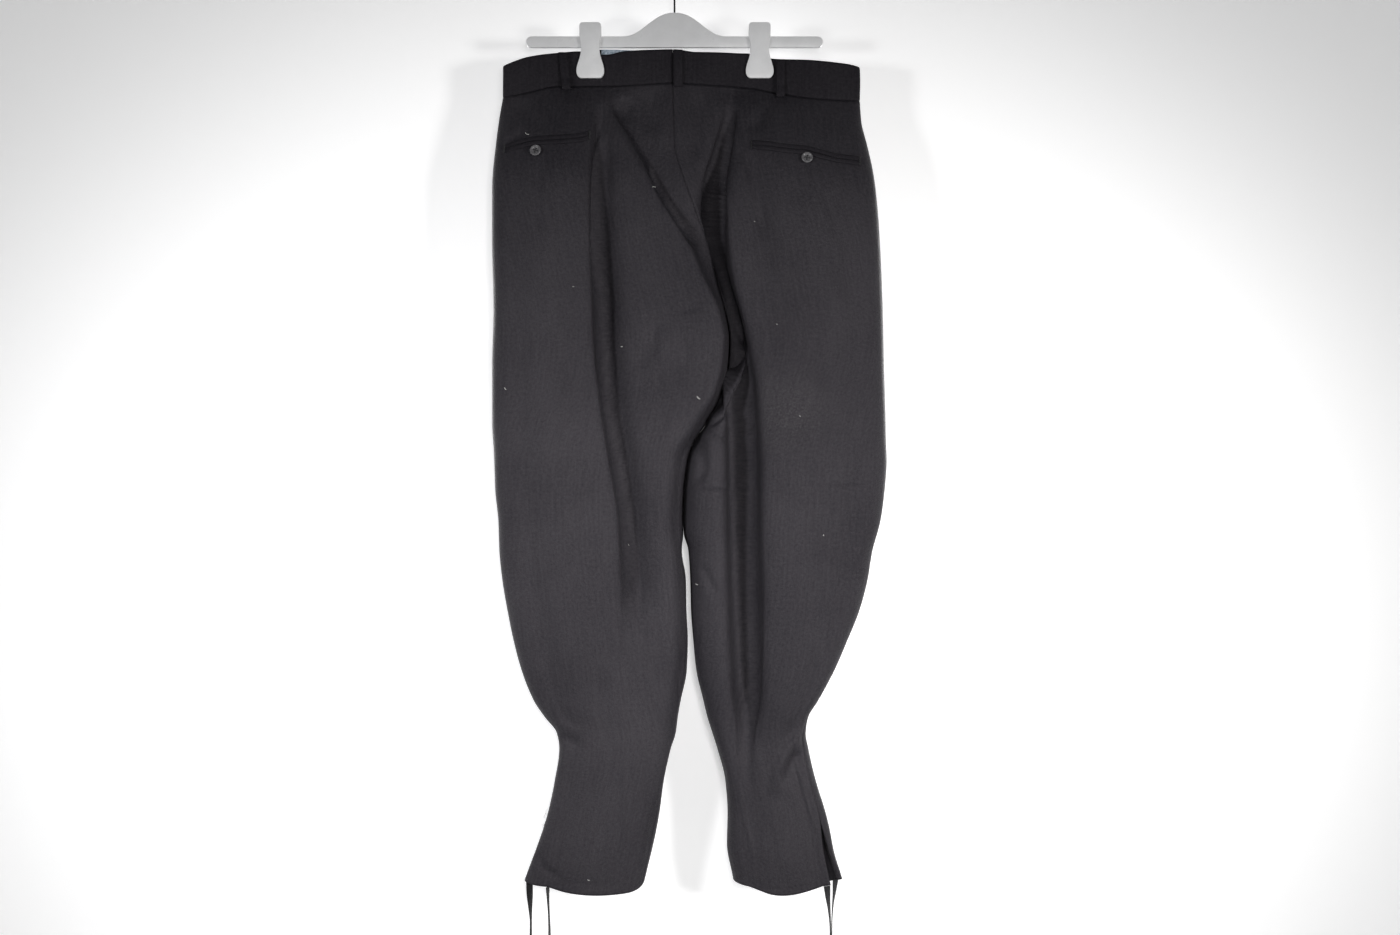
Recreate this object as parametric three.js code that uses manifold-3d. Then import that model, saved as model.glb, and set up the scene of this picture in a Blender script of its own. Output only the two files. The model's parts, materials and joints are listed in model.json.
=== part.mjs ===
// Puffed trousers of black wool twill, hung by the waistband from a clip hanger.
// Millimetres, +Z up. The origin is the inside top of the hanger's hook. The wearer's right is +X and the
// back of the trousers faces -Y. "Drop" is the distance below the origin, so z = -drop.
import * as THREE from 'three';
import { mergeVertices } from 'three/addons/utils/BufferGeometryUtils.js';
import Module from 'manifold-3d';

// ---------------------------------------------------------------- driving dimensions
const WALL = 1.8;             // cloth panel
const BAND_WALL = 1.8;        // waistband
const SEAM_GAP = 0.3;         // space between pieces at a seam
const LIFT = 0.55;            // space under a piece that lies on a panel
const WAIST_LEVEL = 165;      // drop of the waist seam, before its own curve
const WAIST_FADE = 262;       // drop where that curve no longer shows
const CROTCH_LEVEL = 568;
const HEM_LEVEL = 1118;
const HEM_FADE = 1050;
const HEM_SAG = 16;           // how much lower the hem hangs at the middle of a panel than at its ends
const HEM_RISE = 5;           // and how much the ends rise
const EDGE_ROLL = 0.67;       // 1 rolls the cloth round the side seam in an ellipse, less makes it flatter
const BUTTON_RADIUS = 6.8;
const BUTTON_THICKNESS = 2.6;
const BUTTON_HOLE = 0.8;
const LOOP_WIDTH = 10.5;
const LOOP_WALL = 1.4;
const LOOP_ARCH = 2.4;
const JET_WIDTH = 5.6;
const JET_WALL = 1.1;
const TAPE_WIDTH = 8;
const TAPE_WALL = 1;
const TAPE_END = 1320;        // drop of the tapes' free ends
const CLIP_X = { left: -100.8, right: 102.1 };
const BAR_TOP = -103.6;
const BAR_BOTTOM = -117;
const BAR_HALF_LENGTH = 178;
const BAR_HALF_DEPTH = 3.4;
const HUMP_TOP = -75;
const HUMP_HALF_WIDTH = 62;
const WIRE_RADIUS = 1.15;
const HOOK_RADIUS = 20.6;     // wire centre line
const CLIP_TOP = -87.5;
const CLIP_WALL = 3.4;
const JAW_REST = 4.4;         // inner face of a jaw beside the bar
const JAW_GRIP = 2.9;         // inner face of a jaw on the waistband
const GRIP_START = -124;
const BRIDGE_BACK = -5;       // the back jaw's bridge over the bar reaches from here
const BRIDGE_FRONT = 3.75;    // to just short of the front jaw

// ---------------------------------------------------------------- tables: one row for each section
const named = (columns, rows) => rows.map((row) => Object.fromEntries(columns.map((c, i) => [c, row[i]])));

// The outline seen from behind: the side seams and, below the crotch, the inseams.
const contour = named(['drop', 'leftOuter', 'leftInner', 'rightInner', 'rightOuter'], [
  [165, -206, 0, 0, 222.5],
  [192, -210, 0, 0, 224],
  [232, -214, 0, 0, 231],
  [287, -218, 0, 0, 240.6],
  [347, -218, 0, 0, 245.5],
  [431, -216, 0, 0, 249],
  [500, -217.8, 0, 0, 250.5],
  [568, -217.8, 37, 37, 252.5],
  [582, -217.2, 26.5, 27.2, 252.8],
  [597, -216, 19.2, 19.9, 253.3],
  [611, -215.4, 15.2, 15.9, 253.8],
  [647, -214.2, 10.6, 11.3, 251.4],
  [683, -210.6, 9.2, 10, 246.6],
  [699, -210, 9.6, 10.8, 242.6],
  [719, -209.4, 9, 16.2, 237],
  [755, -205.8, 13.8, 18.6, 231],
  [791, -199.8, 14.5, 19.5, 221.4],
  [827, -192.6, 16.2, 22.2, 207],
  [863, -183, 15, 25.8, 191.4],
  [899, -168.6, 7.8, 34.2, 172.2],
  [919, -155.4, 4.2, 39, 160.2],
  [938, -141, 1.8, 45, 157],
  [957, -138, -4.2, 51, 160.5],
  [995, -143.4, -12.6, 60.6, 168.6],
  [1035, -152, -18, 63.4, 180],
  [1072, -163.8, -25, 62.6, 187.8],
  [1118, -180, -35.4, 70, 201],
]);

const centreBack = named(['drop', 'x', 'depth'], [
  [165, -2, 11],
  [232, 0, 23],
  [287, 15, 28],
  [347, 38, 18],
  [393, 51, 12],
  [431, 61, 8],
  [468, 66, 6],
  [500, 64, 4],
  [535, 55, 2],
  [568, 37, 0],
]);

const centreFront = named(['drop', 'x', 'depth'], [
  [165, -2, 10],
  [232, 0, 23],
  [287, 3, 31],
  [347, 8, 34],
  [431, 18, 31],
  [500, 27, 22],
  [535, 32, 12],
  [568, 37, 0],
]);

// Back left: a swag lip from the left clip down to the crotch, and a long ridge beside a valley.
const backLeft = named(
  ['drop', 'footX', 'footD', 'lipX', 'lipD', 'valleyX', 'valleyD', 'ridgeX', 'ridgeD', 'plainX', 'plainD',
    'sideX', 'sideD'], [
    [165, -42, 9, -82, 2.6, -100, 2.6, -120, 2.6, -158, 8, -194, 8],
    [192, -66, 10, -76, 16, -92, 14, -108, 16, -155, 18, -187, 15],
    [232, -47, 18, -56, 28, -80, 26, -94, 31, -152, 32, -182, 26],
    [287, -14, 24, -24, 39, -82, 31, -97, 44, -152, 45, -182, 38],
    [347, 20, 28, 11, 46, -82, 31, -98, 51, -152, 51, -182, 43],
    [393, 39, 31, 30, 49, -80, 33, -98, 54, -152, 54, -181, 46],
    [431, 56, 31, 48, 50, -79, 34, -98, 55, -152, 55, -181, 47],
    [468, 62.5, 30, 56, 49, -77, 36, -98, 55, -152, 55, -182, 47],
    [500, 60, 29, 53, 48, -74, 37, -95, 55, -152, 55, -182, 47],
    [535, 51, 27, 43, 46, -69, 39, -89, 54, -151, 54, -181, 46],
    [568, 33, 26, 20, 44, -64, 41, -85, 54, -150, 53, -180, 45],
    [611, 9.5, 27, -8, 43, -59, 41, -78, 53, -147, 52, -178, 44],
    [683, 3, 26, -14, 41, -50, 41, -67, 51, -140, 50, -172, 42],
    [755, 8.5, 24, -8, 38, -48, 39, -68, 47, -134, 46, -166, 38],
    [827, 11, 20, -5, 33, -50, 35, -75, 40, -122, 40, -154, 33],
    [899, 3.5, 17, -10, 28, -48, 30, -76, 33, -112, 31, -138, 26],
    [938, -2, 15, -15, 25, -45, 29, -72, 29, -98, 27, -119, 22],
    [1035, -22, 14, -34, 23, -60, 26, -86, 26, -109, 25, -131, 20],
    [1118, -39.5, 13, -51, 21, -78, 25, -104, 26, -129, 24, -151, 18],
  ]);

// Back right: the cleft beside the centre seam runs on as the valley of the inner thigh.
const backRight = named(
  ['drop', 'wallX', 'wallD', 'floorX', 'floorD', 'browX', 'browD', 'troughX', 'troughD', 'crestX', 'crestD',
    'plainX', 'plainD', 'sideX', 'sideD'], [
    [165, 38, 10, 62, 7, 83, 2.6, 102, 2.6, 121, 2.6, 166, 8, 208, 8],
    [192, 58, 14, 66, 11, 76, 16, 92, 15, 114, 17, 165, 19, 203, 16],
    [232, 50, 19, 58, 11, 69, 27, 88, 24, 115, 31, 165, 32, 202, 27],
    [287, 36, 24, 46, 10, 60, 36, 98, 36, 127, 44, 167, 45, 205, 38],
    [347, 42, 13, 48, 9, 65, 41, 104, 43, 136, 51, 174, 51, 208, 44],
    [393, 53.5, 9, 57, 8, 69, 43, 106, 48, 139, 54, 176, 54, 210, 46],
    [431, 63, 8, 66, 9, 76, 44, 108, 50, 141, 55, 178, 55, 211, 47],
    [468, 68, 12, 72, 16, 86, 42, 110, 50, 143, 56, 180, 55, 213, 47],
    [500, 68, 28, 77, 25, 93, 44, 113, 51, 146, 56, 182, 55, 214, 47],
    [535, 64, 38, 81, 24, 98, 45, 118, 51, 148, 56, 184, 54, 215, 47],
    [568, 58, 42, 84, 25, 101, 46, 121, 51, 149, 55, 186, 53, 216, 46],
    [611, 54, 44, 84, 25, 103, 46, 122, 51, 150, 54, 187, 52, 216, 45],
    [683, 54, 42, 84, 25, 104, 44, 123, 48, 148, 51, 181, 49, 209, 41],
    [755, 56, 38, 86, 24, 106, 41, 124, 45, 146, 47, 172, 45, 196, 37],
    [827, 60, 33, 86, 23, 104, 36, 121, 39, 140, 41, 160, 39, 180, 32],
    [899, 65, 28, 86, 21, 99, 30, 112, 33, 126, 34, 140, 32, 153, 27],
    [938, 67, 25, 84, 20, 94, 27, 105, 29, 117, 30, 129, 28, 140, 23],
    [1035, 79, 22, 94, 23, 104, 25, 115, 26, 127, 26, 141, 25, 157, 20],
    [1118, 89, 20, 104, 23, 115, 25, 128, 26, 142, 26, 158, 24, 177, 18],
  ]);

// Fronts: softer folds below each clip.
const frontLeft = named(
  ['drop', 'innerX', 'innerD', 'pinchX', 'pinchD', 'creaseX', 'creaseD', 'plainX', 'plainD', 'sideX', 'sideD'], [
    [165, -46, 8, -82, 2.6, -120, 2.6, -158, 8, -194, 8],
    [192, -44, 15, -80, 13, -113, 15, -155, 17, -187, 14],
    [232, -42, 27, -76, 24, -108, 29, -152, 29, -182, 24],
    [287, -38, 37, -72, 33, -104, 40, -152, 40, -182, 34],
    [347, -34, 43, -68, 39, -102, 47, -152, 46, -182, 39],
    [431, -26, 46, -64, 43, -100, 52, -152, 50, -181, 43],
    [500, -20, 46, -60, 45, -96, 53, -152, 51, -182, 44],
    [568, -8, 44, -56, 46, -92, 52, -150, 50, -180, 43],
    [611, -10, 43, -54, 46, -88, 52, -147, 49, -178, 42],
    [683, -16, 41, -52, 45, -82, 49, -140, 47, -172, 40],
    [755, -12, 38, -48, 43, -78, 46, -134, 43, -166, 36],
    [827, -8, 33, -46, 38, -76, 40, -122, 38, -154, 31],
    [899, -12, 27, -46, 32, -74, 33, -110, 30, -138, 25],
    [938, -17, 25, -44, 29, -70, 30, -96, 27, -119, 22],
    [1035, -36, 23, -60, 26, -85, 27, -109, 25, -131, 20],
    [1118, -53, 21, -78, 25, -103, 26, -129, 24, -151, 18],
  ]);

const frontRight = named(
  ['drop', 'innerX', 'innerD', 'pinchX', 'pinchD', 'creaseX', 'creaseD', 'plainX', 'plainD', 'sideX', 'sideD'], [
    [165, 44, 8, 83, 2.6, 121, 2.6, 166, 8, 208, 8],
    [192, 46, 15, 82, 13, 116, 15, 165, 18, 203, 15],
    [232, 48, 27, 84, 24, 116, 29, 166, 30, 202, 25],
    [287, 52, 37, 86, 34, 120, 41, 168, 41, 205, 35],
    [347, 58, 43, 90, 40, 128, 48, 174, 47, 208, 40],
    [431, 68, 46, 96, 44, 136, 53, 178, 51, 211, 44],
    [500, 72, 45, 102, 46, 142, 54, 182, 52, 214, 45],
    [568, 66, 44, 104, 46, 146, 53, 186, 51, 216, 44],
    [611, 46, 43, 100, 46, 146, 52, 187, 50, 216, 43],
    [683, 42, 40, 96, 45, 144, 49, 181, 47, 209, 40],
    [755, 46, 37, 96, 42, 142, 46, 172, 43, 196, 36],
    [827, 50, 32, 94, 37, 136, 40, 160, 38, 180, 32],
    [899, 56, 27, 88, 31, 122, 34, 140, 32, 153, 27],
    [938, 62, 24, 84, 28, 114, 30, 129, 28, 140, 23],
    [1035, 80, 22, 102, 26, 124, 27, 141, 25, 157, 20],
    [1118, 88, 20, 112, 25, 138, 26, 158, 24, 177, 18],
  ]);

// How far each side seam lies round towards the back, as a part of the quarter turn at the edge,
// and how far the two edges of the slit stand back from it.
const sideSeam = named(['drop', 'leftTurn', 'rightTurn', 'leftSlit', 'rightSlit'], [
  [165, 0, 0, 0, 0],
  [863, 0, 0, 0, 0],
  [919, 0, 0.35, 0, 0],
  [957, 0, 0.62, 0, 0],
  [1035, 0, 0.62, 0, 0],
  [1072, 0, 0.6, 0.05, 0.16],
  [1118, 0, 0.5, 0.1, 0.34],
]);

// The waist seam, and the top edges of the waistband at the back and front.
const waistline = named(['x', 'seam', 'backTop', 'frontTop'], [
  [-206, 178, 139.8, 140.5],
  [-175, 172, 129, 130],
  [-140, 164.4, 123.9, 124.6],
  [-116, 163.8, 121.4, 122],
  [-86, 163.4, 126, 118.6],
  [-57, 163.3, 121.8, 118.8],
  [0, 161, 120.6, 122],
  [26, 162.5, 123.7, 124.4],
  [88, 165.5, 123.9, 124.6],
  [116, 170.5, 130, 130.6],
  [166, 179, 133, 133.8],
  [206, 181.6, 137.4, 138],
  [222.6, 182, 141, 141.5],
]);

const levels = [165, 178, 192, 212, 232, 258, 287, 317, 347, 393, 431, 468, 500, 535, 568, 589, 611, 647, 683,
  719, 755, 791, 827, 863, 899, 919, 938, 957, 995, 1035, 1072, 1118];

// Pocket mouths on the back panels, from the outer end to the inner end.
const pocketMouths = {
  left: named(['x', 'drop'], [
    [-202, 242.5], [-194, 240], [-178, 235.8], [-160, 233.2], [-142, 232.6], [-122, 231], [-107, 228.8],
    [-100, 225],
  ]),
  right: named(['x', 'drop'], [
    [91, 237], [108.6, 239.4], [131.4, 243], [155.4, 245.4], [173.4, 250.2], [191.4, 254.4], [209.4, 256.2],
    [221, 257.6],
  ]),
};

// ---------------------------------------------------------------- curves and surfaces
const clamp = (value, low, high) => Math.min(Math.max(value, low), high);
const fade = (value, start, end) => {
  const t = clamp((value - start) / (end - start), 0, 1);
  return t * t * (3 - 2 * t);
};

/** A smooth curve through points that never swings past them. */
function smoothCurve(positions, values) {
  const last = positions.length - 1;
  const slopes = positions.slice(1).map((p, i) => (values[i + 1] - values[i]) / (p - positions[i]));
  const tangents = positions.map((_, i) => {
    if (i === 0) return slopes[0];
    if (i === last) return slopes[last - 1];
    const product = slopes[i - 1] * slopes[i];
    return product > 0 ? 2 * product / (slopes[i - 1] + slopes[i]) : 0;
  });
  return (at) => {
    const p = clamp(at, positions[0], positions[last]);
    let i = 0;
    while (i < last - 1 && p > positions[i + 1]) i += 1;
    const span = positions[i + 1] - positions[i];
    const t = (p - positions[i]) / span;
    const bend = t * t * (3 - 2 * t);
    return values[i] * (1 - bend) + values[i + 1] * bend
      + span * t * (1 - t) * (tangents[i] * (1 - t) - tangents[i + 1] * t);
  };
}

function columnCurve(rows, key, column) {
  return smoothCurve(rows.map((row) => row[key]), rows.map((row) => row[column]));
}

const seamDrop = columnCurve(waistline, 'x', 'seam');
const outline = Object.fromEntries(['leftOuter', 'leftInner', 'rightInner', 'rightOuter']
  .map((column) => [column, columnCurve(contour, 'drop', column)]));

/** One cloth panel: a surface over "turn" (guide lines from the centre out) and "level" (drop). */
class Panel {
  constructor({ leg, face, sections, guides, centre, steps }) {
    this.leg = leg;                    // -1 left, 1 right
    this.face = face;                  // -1 back, 1 front
    this.steps = steps;
    this.guideCount = guides.length + 2;
    const side = leg < 0 ? 'left' : 'right';
    this.outer = outline[`${side}Outer`];
    this.inner = outline[`${side}Inner`];
    this.centreX = columnCurve(centre, 'drop', 'x');
    this.centreD = columnCurve(centre, 'drop', 'depth');
    this.curves = guides.map((guide) => [
      columnCurve(sections, 'drop', `${guide}X`),
      columnCurve(sections, 'drop', `${guide}D`),
    ]);
    this.turn = columnCurve(sideSeam, 'drop', `${side}Turn`);
    this.slit = columnCurve(sideSeam, 'drop', `${side}Slit`);
    this.grid = this.makeGrid();
  }

  /** The seam at the panel's inner edge: the centre seam, or below the crotch the inseam. */
  innerSeam(level) {
    if (level < CROTCH_LEVEL) return [this.centreX(level), this.centreD(level)];
    return [this.inner(level), 0];
  }

  point(at, level) {
    const [seamX, seamD] = this.innerSeam(level);
    const xs = [seamX, ...this.curves.map(([x]) => x(level)), this.outer(level)];
    const depths = [seamD, ...this.curves.map(([, depth]) => depth(level)), 0];
    const last = xs.length - 1;
    const order = xs.map((_, i) => i);
    let x = smoothCurve(order, xs)(at);
    let depth = smoothCurve(order, depths)(at);
    if (at > last - 1) {
      const angle = (at - last + 1) * Math.PI / 2;
      x = xs[last - 1] + (xs[last] - xs[last - 1]) * Math.sin(angle) ** EDGE_ROLL;
      depth = depths[last - 1] * Math.sign(Math.cos(angle)) * Math.abs(Math.cos(angle)) ** EDGE_ROLL;
    }
    if (at < 1) {
      const roll = fade(level, CROTCH_LEVEL - 70, CROTCH_LEVEL);
      const angle = at * Math.PI / 2;
      const rolledX = xs[0] + (xs[1] - xs[0]) * (1 - Math.cos(angle));
      const rolledDepth = depths[0] + (depths[1] - depths[0]) * Math.sin(angle);
      x = x * (1 - roll) + rolledX * roll;
      depth = depth * (1 - roll) + rolledDepth * roll;
    }
    const waistShift = (seamDrop(x) - WAIST_LEVEL) * (1 - fade(level, WAIST_LEVEL, WAIST_FADE));
    const across = clamp(at / last, 0, 1);
    const hemShift = (HEM_SAG * Math.sin(Math.PI * across) - HEM_RISE) * fade(level, HEM_FADE, HEM_LEVEL);
    const z = -(level + waistShift + hemShift) - SEAM_GAP / 2 * (1 - fade(level, WAIST_LEVEL, WAIST_FADE));
    return new THREE.Vector3(x + this.leg * SEAM_GAP / 2, this.face * depth, z);
  }

  normal(at, level) {
    const nudge = 0.02;
    const across = this.point(at + nudge, level).sub(this.point(at - nudge, level));
    const down = this.point(at, level + 1).sub(this.point(at, level - 1));
    return across.cross(down).multiplyScalar(this.leg * this.face).normalize();
  }

  /** The direction of the cloth's thickness, outwards; pieces that meet at a seam share it. */
  thickness(at, level) {
    const n = this.normal(at, level);
    if (at < 0.5 && level < CROTCH_LEVEL && at <= this.start(level)) {
      const above = this.innerSeam(Math.max(level - 1, WAIST_LEVEL));
      const below = this.innerSeam(Math.min(level + 1, CROTCH_LEVEL - 0.1));
      const along = new THREE.Vector3(0, this.face * (below[1] - above[1]), -2).normalize();
      const out = new THREE.Vector3(0, this.face, 0);
      n.copy(out.addScaledVector(along, -along.dot(out))).normalize();
    }
    if (level <= WAIST_LEVEL) n.setZ(0).normalize();
    return n;
  }

  /** Guide position of the inner edge: half a seam gap short of the inseam. */
  start(level) {
    return level < CROTCH_LEVEL ? 0 : this.besideSeam(0, level, 1);
  }

  /** Guide position of the outer edge, which follows the side seam and its slit. */
  end(level) {
    const seam = this.guideCount - 1 + this.face * this.turn(level);
    return this.besideSeam(seam, level, -1) - this.slit(level);
  }

  /** The guide position at half a seam gap to one side of a seam, found by halving. */
  besideSeam(seam, level, side) {
    const onSeam = this.point(seam, level);
    let near = 0;
    let far = 0.2;
    for (let i = 0; i < 24; i += 1) {
      const middle = (near + far) / 2;
      if (this.point(seam + side * middle, level).distanceTo(onSeam) < SEAM_GAP / 2) near = middle;
      else far = middle;
    }
    return seam + side * far;
  }

  makeGrid() {
    return levels.map((level) => {
      const start = this.start(level);
      const end = this.end(level);
      const stations = [];
      this.steps.forEach((count, guide) => {
        for (let i = 0; i < count; i += 1) stations.push(guide + i / count);
      });
      stations.push(this.guideCount - 1);
      const first = this.steps[this.steps.length - 1];
      return stations.map((station, column) => {
        const rollStart = this.guideCount - 2;
        let at = Math.max(station, start);
        if (station > rollStart) {
          at = rollStart + (end - rollStart) * (column - (stations.length - 1 - first)) / first;
        }
        const outer = this.point(at, level);
        const normal = this.thickness(at, level);
        return { at, outer, normal, inner: outer.clone().addScaledVector(normal, -WALL) };
      });
    });
  }
}

// ---------------------------------------------------------------- closed solids
/** A wall between an outer and an inner grid of points, closed round its four edges. */
function wallGeometry(outer, inner) {
  const rows = outer.length;
  const columns = outer[0].length;
  const points = [...outer.flat(), ...inner.flat()];
  const out = (r, c) => r * columns + c;
  const back = (r, c) => rows * columns + r * columns + c;
  const faces = [];
  const quad = (a, b, c, d) => faces.push([a, b, c], [a, c, d]);
  for (let r = 0; r < rows - 1; r += 1) {
    for (let c = 0; c < columns - 1; c += 1) {
      quad(out(r, c), out(r + 1, c), out(r + 1, c + 1), out(r, c + 1));
      faces.push([back(r, c), back(r + 1, c + 1), back(r + 1, c)], [back(r, c), back(r, c + 1), back(r + 1, c + 1)]);
    }
  }
  for (let c = 0; c < columns - 1; c += 1) {
    quad(out(0, c), out(0, c + 1), back(0, c + 1), back(0, c));
    quad(out(rows - 1, c + 1), out(rows - 1, c), back(rows - 1, c), back(rows - 1, c + 1));
  }
  for (let r = 0; r < rows - 1; r += 1) {
    quad(out(r + 1, 0), out(r, 0), back(r, 0), back(r + 1, 0));
    quad(out(r, columns - 1), out(r + 1, columns - 1), back(r + 1, columns - 1), back(r, columns - 1));
  }
  return facedOut(points, faces);
}

/** A geometry from points and triangles, turned so that its faces point out. */
function facedOut(points, faces) {
  let volume = 0;
  for (const [a, b, c] of faces) volume += points[a].dot(points[b].clone().cross(points[c]));
  const geometry = new THREE.BufferGeometry();
  geometry.setAttribute('position', new THREE.Float32BufferAttribute(points.flatMap((p) => p.toArray()), 3));
  geometry.setIndex(faces.flatMap(([a, b, c]) => (volume > 0 ? [a, b, c] : [a, c, b])));
  return geometry;
}

const wasm = await Module();
wasm.setup();

function solid(geometry) {
  const bare = geometry.clone();
  bare.deleteAttribute('normal');
  bare.deleteAttribute('uv');
  const merged = mergeVertices(bare, 1e-4);
  const mesh = new wasm.Mesh({
    numProp: 3,
    vertProperties: new Float32Array(merged.attributes.position.array),
    triVerts: new Uint32Array(merged.index.array),
  });
  return new wasm.Manifold(mesh);
}

function fromSolid(manifold) {
  const mesh = manifold.getMesh();
  const geometry = new THREE.BufferGeometry();
  geometry.setAttribute('position', new THREE.BufferAttribute(new Float32Array(mesh.vertProperties), 3));
  geometry.setIndex(new THREE.BufferAttribute(new Uint32Array(mesh.triVerts), 1));
  return geometry;
}

// ---------------------------------------------------------------- materials
const cloth = new THREE.MeshStandardMaterial({ color: 0x1d1c20, roughness: 0.9, metalness: 0 });
const lining = new THREE.MeshStandardMaterial({ color: 0x9fb2c4, roughness: 0.85, metalness: 0 });
const plastic = new THREE.MeshStandardMaterial({ color: 0xf4f5f6, roughness: 0.35, metalness: 0 });
const horn = new THREE.MeshStandardMaterial({ color: 0x151417, roughness: 0.25, metalness: 0 });
const wire = new THREE.MeshStandardMaterial({ color: 0x2b2b2e, roughness: 0.35, metalness: 1 });
const tape = new THREE.MeshStandardMaterial({ color: 0x1a191c, roughness: 0.85, metalness: 0 });

const trousers = new THREE.Group();

function add(name, geometry, material, parent = trousers) {
  const mesh = new THREE.Mesh(geometry, material);
  mesh.name = name;
  parent.add(mesh);
  return mesh;
}

// ---------------------------------------------------------------- the four cloth panels
const backGuides = ['foot', 'lip', 'valley', 'ridge', 'plain', 'side'];
const rightGuides = ['wall', 'floor', 'brow', 'trough', 'crest', 'plain', 'side'];
const frontGuides = ['inner', 'pinch', 'crease', 'plain', 'side'];
const panels = {
  back_left: new Panel({
    leg: -1, face: -1, sections: backLeft, guides: backGuides, centre: centreBack, steps: [2, 2, 4, 2, 3, 2, 4],
  }),
  back_right: new Panel({
    leg: 1, face: -1, sections: backRight, guides: rightGuides, centre: centreBack,
    steps: [3, 2, 3, 2, 2, 2, 2, 4],
  }),
  front_left: new Panel({
    leg: -1, face: 1, sections: frontLeft, guides: frontGuides, centre: centreFront, steps: [3, 2, 2, 2, 1, 4],
  }),
  front_right: new Panel({
    leg: 1, face: 1, sections: frontRight, guides: frontGuides, centre: centreFront, steps: [3, 2, 2, 2, 1, 4],
  }),
};

for (const [name, panel] of Object.entries(panels)) {
  const outer = panel.grid.map((row) => row.map((cell) => cell.outer));
  const inner = panel.grid.map((row) => row.map((cell) => cell.inner));
  add(name, wallGeometry(outer, inner), cloth);
}

// ---------------------------------------------------------------- waistband
const bands = {};
const bandHeights = [0, 0.5, 1];
for (const [name, panel] of Object.entries(panels)) {
  const top = columnCurve(waistline, 'x', panel.face < 0 ? 'backTop' : 'frontTop');
  const grid = bandHeights.map((height) => panel.grid[0].map(({ outer, normal }) => {
    const seamZ = -seamDrop(outer.x) + SEAM_GAP / 2;
    const point = outer.clone().setZ(seamZ + (-top(outer.x) - seamZ) * height);
    return { outer: point, normal, inner: point.clone().addScaledVector(normal, -BAND_WALL) };
  }));
  bands[name] = { grid, top };
  const outer = grid.map((row) => row.map((cell) => cell.outer));
  const inner = grid.map((row) => row.map((cell) => cell.inner));
  add(`waistband_${name}`, wallGeometry(outer, inner), cloth);
}

// ---------------------------------------------------------------- pieces that lie on the cloth
/** The point of a grid's outer facets at (x, z), with the cloth's outward direction there. */
function onCloth(grid, x, z) {
  let best = null;
  for (let r = 0; r < grid.length - 1; r += 1) {
    for (let c = 0; c < grid[r].length - 1; c += 1) {
      const [p, q, s, t] = [grid[r][c], grid[r + 1][c], grid[r + 1][c + 1], grid[r][c + 1]];
      for (const corners of [[p, q, s], [p, s, t]]) {
        const [a, b, d] = corners.map((cell) => cell.outer);
        const area = (b.x - a.x) * (d.z - a.z) - (d.x - a.x) * (b.z - a.z);
        if (Math.abs(area) < 1e-9) continue;
        const u = ((x - a.x) * (d.z - a.z) - (d.x - a.x) * (z - a.z)) / area;
        const v = ((b.x - a.x) * (z - a.z) - (x - a.x) * (b.z - a.z)) / area;
        if (u < -1e-6 || v < -1e-6 || u + v > 1 + 1e-6) continue;
        const weights = [1 - u - v, u, v];
        const point = new THREE.Vector3();
        const normal = new THREE.Vector3();
        corners.forEach((cell, i) => {
          point.addScaledVector(cell.outer, weights[i]);
          normal.addScaledVector(cell.normal, weights[i]);
        });
        if (!best || Math.abs(point.y) > Math.abs(best.point.y)) best = { point, normal: normal.normalize() };
      }
    }
  }
  return best;
}

/** A strip with rows of (x, z) points, lying on a panel or band. */
function laidStrip(grid, rows, lift, thickness) {
  const cells = rows.map((row) => row.map(([x, z]) => onCloth(grid, x, z)));
  const inner = cells.map((row) => row.map(({ point, normal }) => point.clone().addScaledVector(normal, lift)));
  const outer = cells.map((row) => row.map(({ point, normal }) => (
    point.clone().addScaledVector(normal, lift + thickness))));
  return wallGeometry(outer, inner);
}

function resampled(line, count) {
  const dropAt = columnCurve(line, 'x', 'drop');
  const first = line[0].x;
  const last = line[line.length - 1].x;
  return Array.from({ length: count + 1 }, (_, i) => first + (last - first) * i / count).map((x) => [x, -dropAt(x)]);
}

for (const side of ['left', 'right']) {
  const mouth = resampled(pocketMouths[side], 26);
  const grid = panels[`back_${side}`].grid;
  const upper = [0, 1].map((part) => mouth.map(([x, z]) => [x, z + SEAM_GAP + JET_WIDTH * part]));
  const lower = [0, 1].map((part) => mouth.map(([x, z]) => [x, z - SEAM_GAP - JET_WIDTH * part]));
  add(`pocket_${side}_upper_jet`, laidStrip(grid, upper, LIFT, JET_WALL), cloth);
  add(`pocket_${side}_lower_jet`, laidStrip(grid, lower, LIFT, JET_WALL), cloth);
}

// The fly flap lies on the front left panel, beside the centre front seam.
const FLY_WIDTH = 38;
const FLY_TOP = 6;
const FLY_LENGTH = 165;
const flyRows = [];
for (let row = 0; row <= 9; row += 1) {
  const part = row / 9;
  const width = FLY_WIDTH * Math.sqrt(Math.max(1 - Math.max(part - 0.7, 0) ** 2 / 0.1, 0.02));
  const edgeX = columnCurve(centreFront, 'drop', 'x')(WAIST_LEVEL + FLY_TOP + FLY_LENGTH * part) - 1.2;
  const z = -seamDrop(0) - FLY_TOP - FLY_LENGTH * part;
  flyRows.push([0, 0.34, 0.67, 1].map((across) => [edgeX - width * across, z]));
}
add('fly_flap', laidStrip(panels.front_left.grid, flyRows, LIFT, 1.2), cloth);

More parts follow.
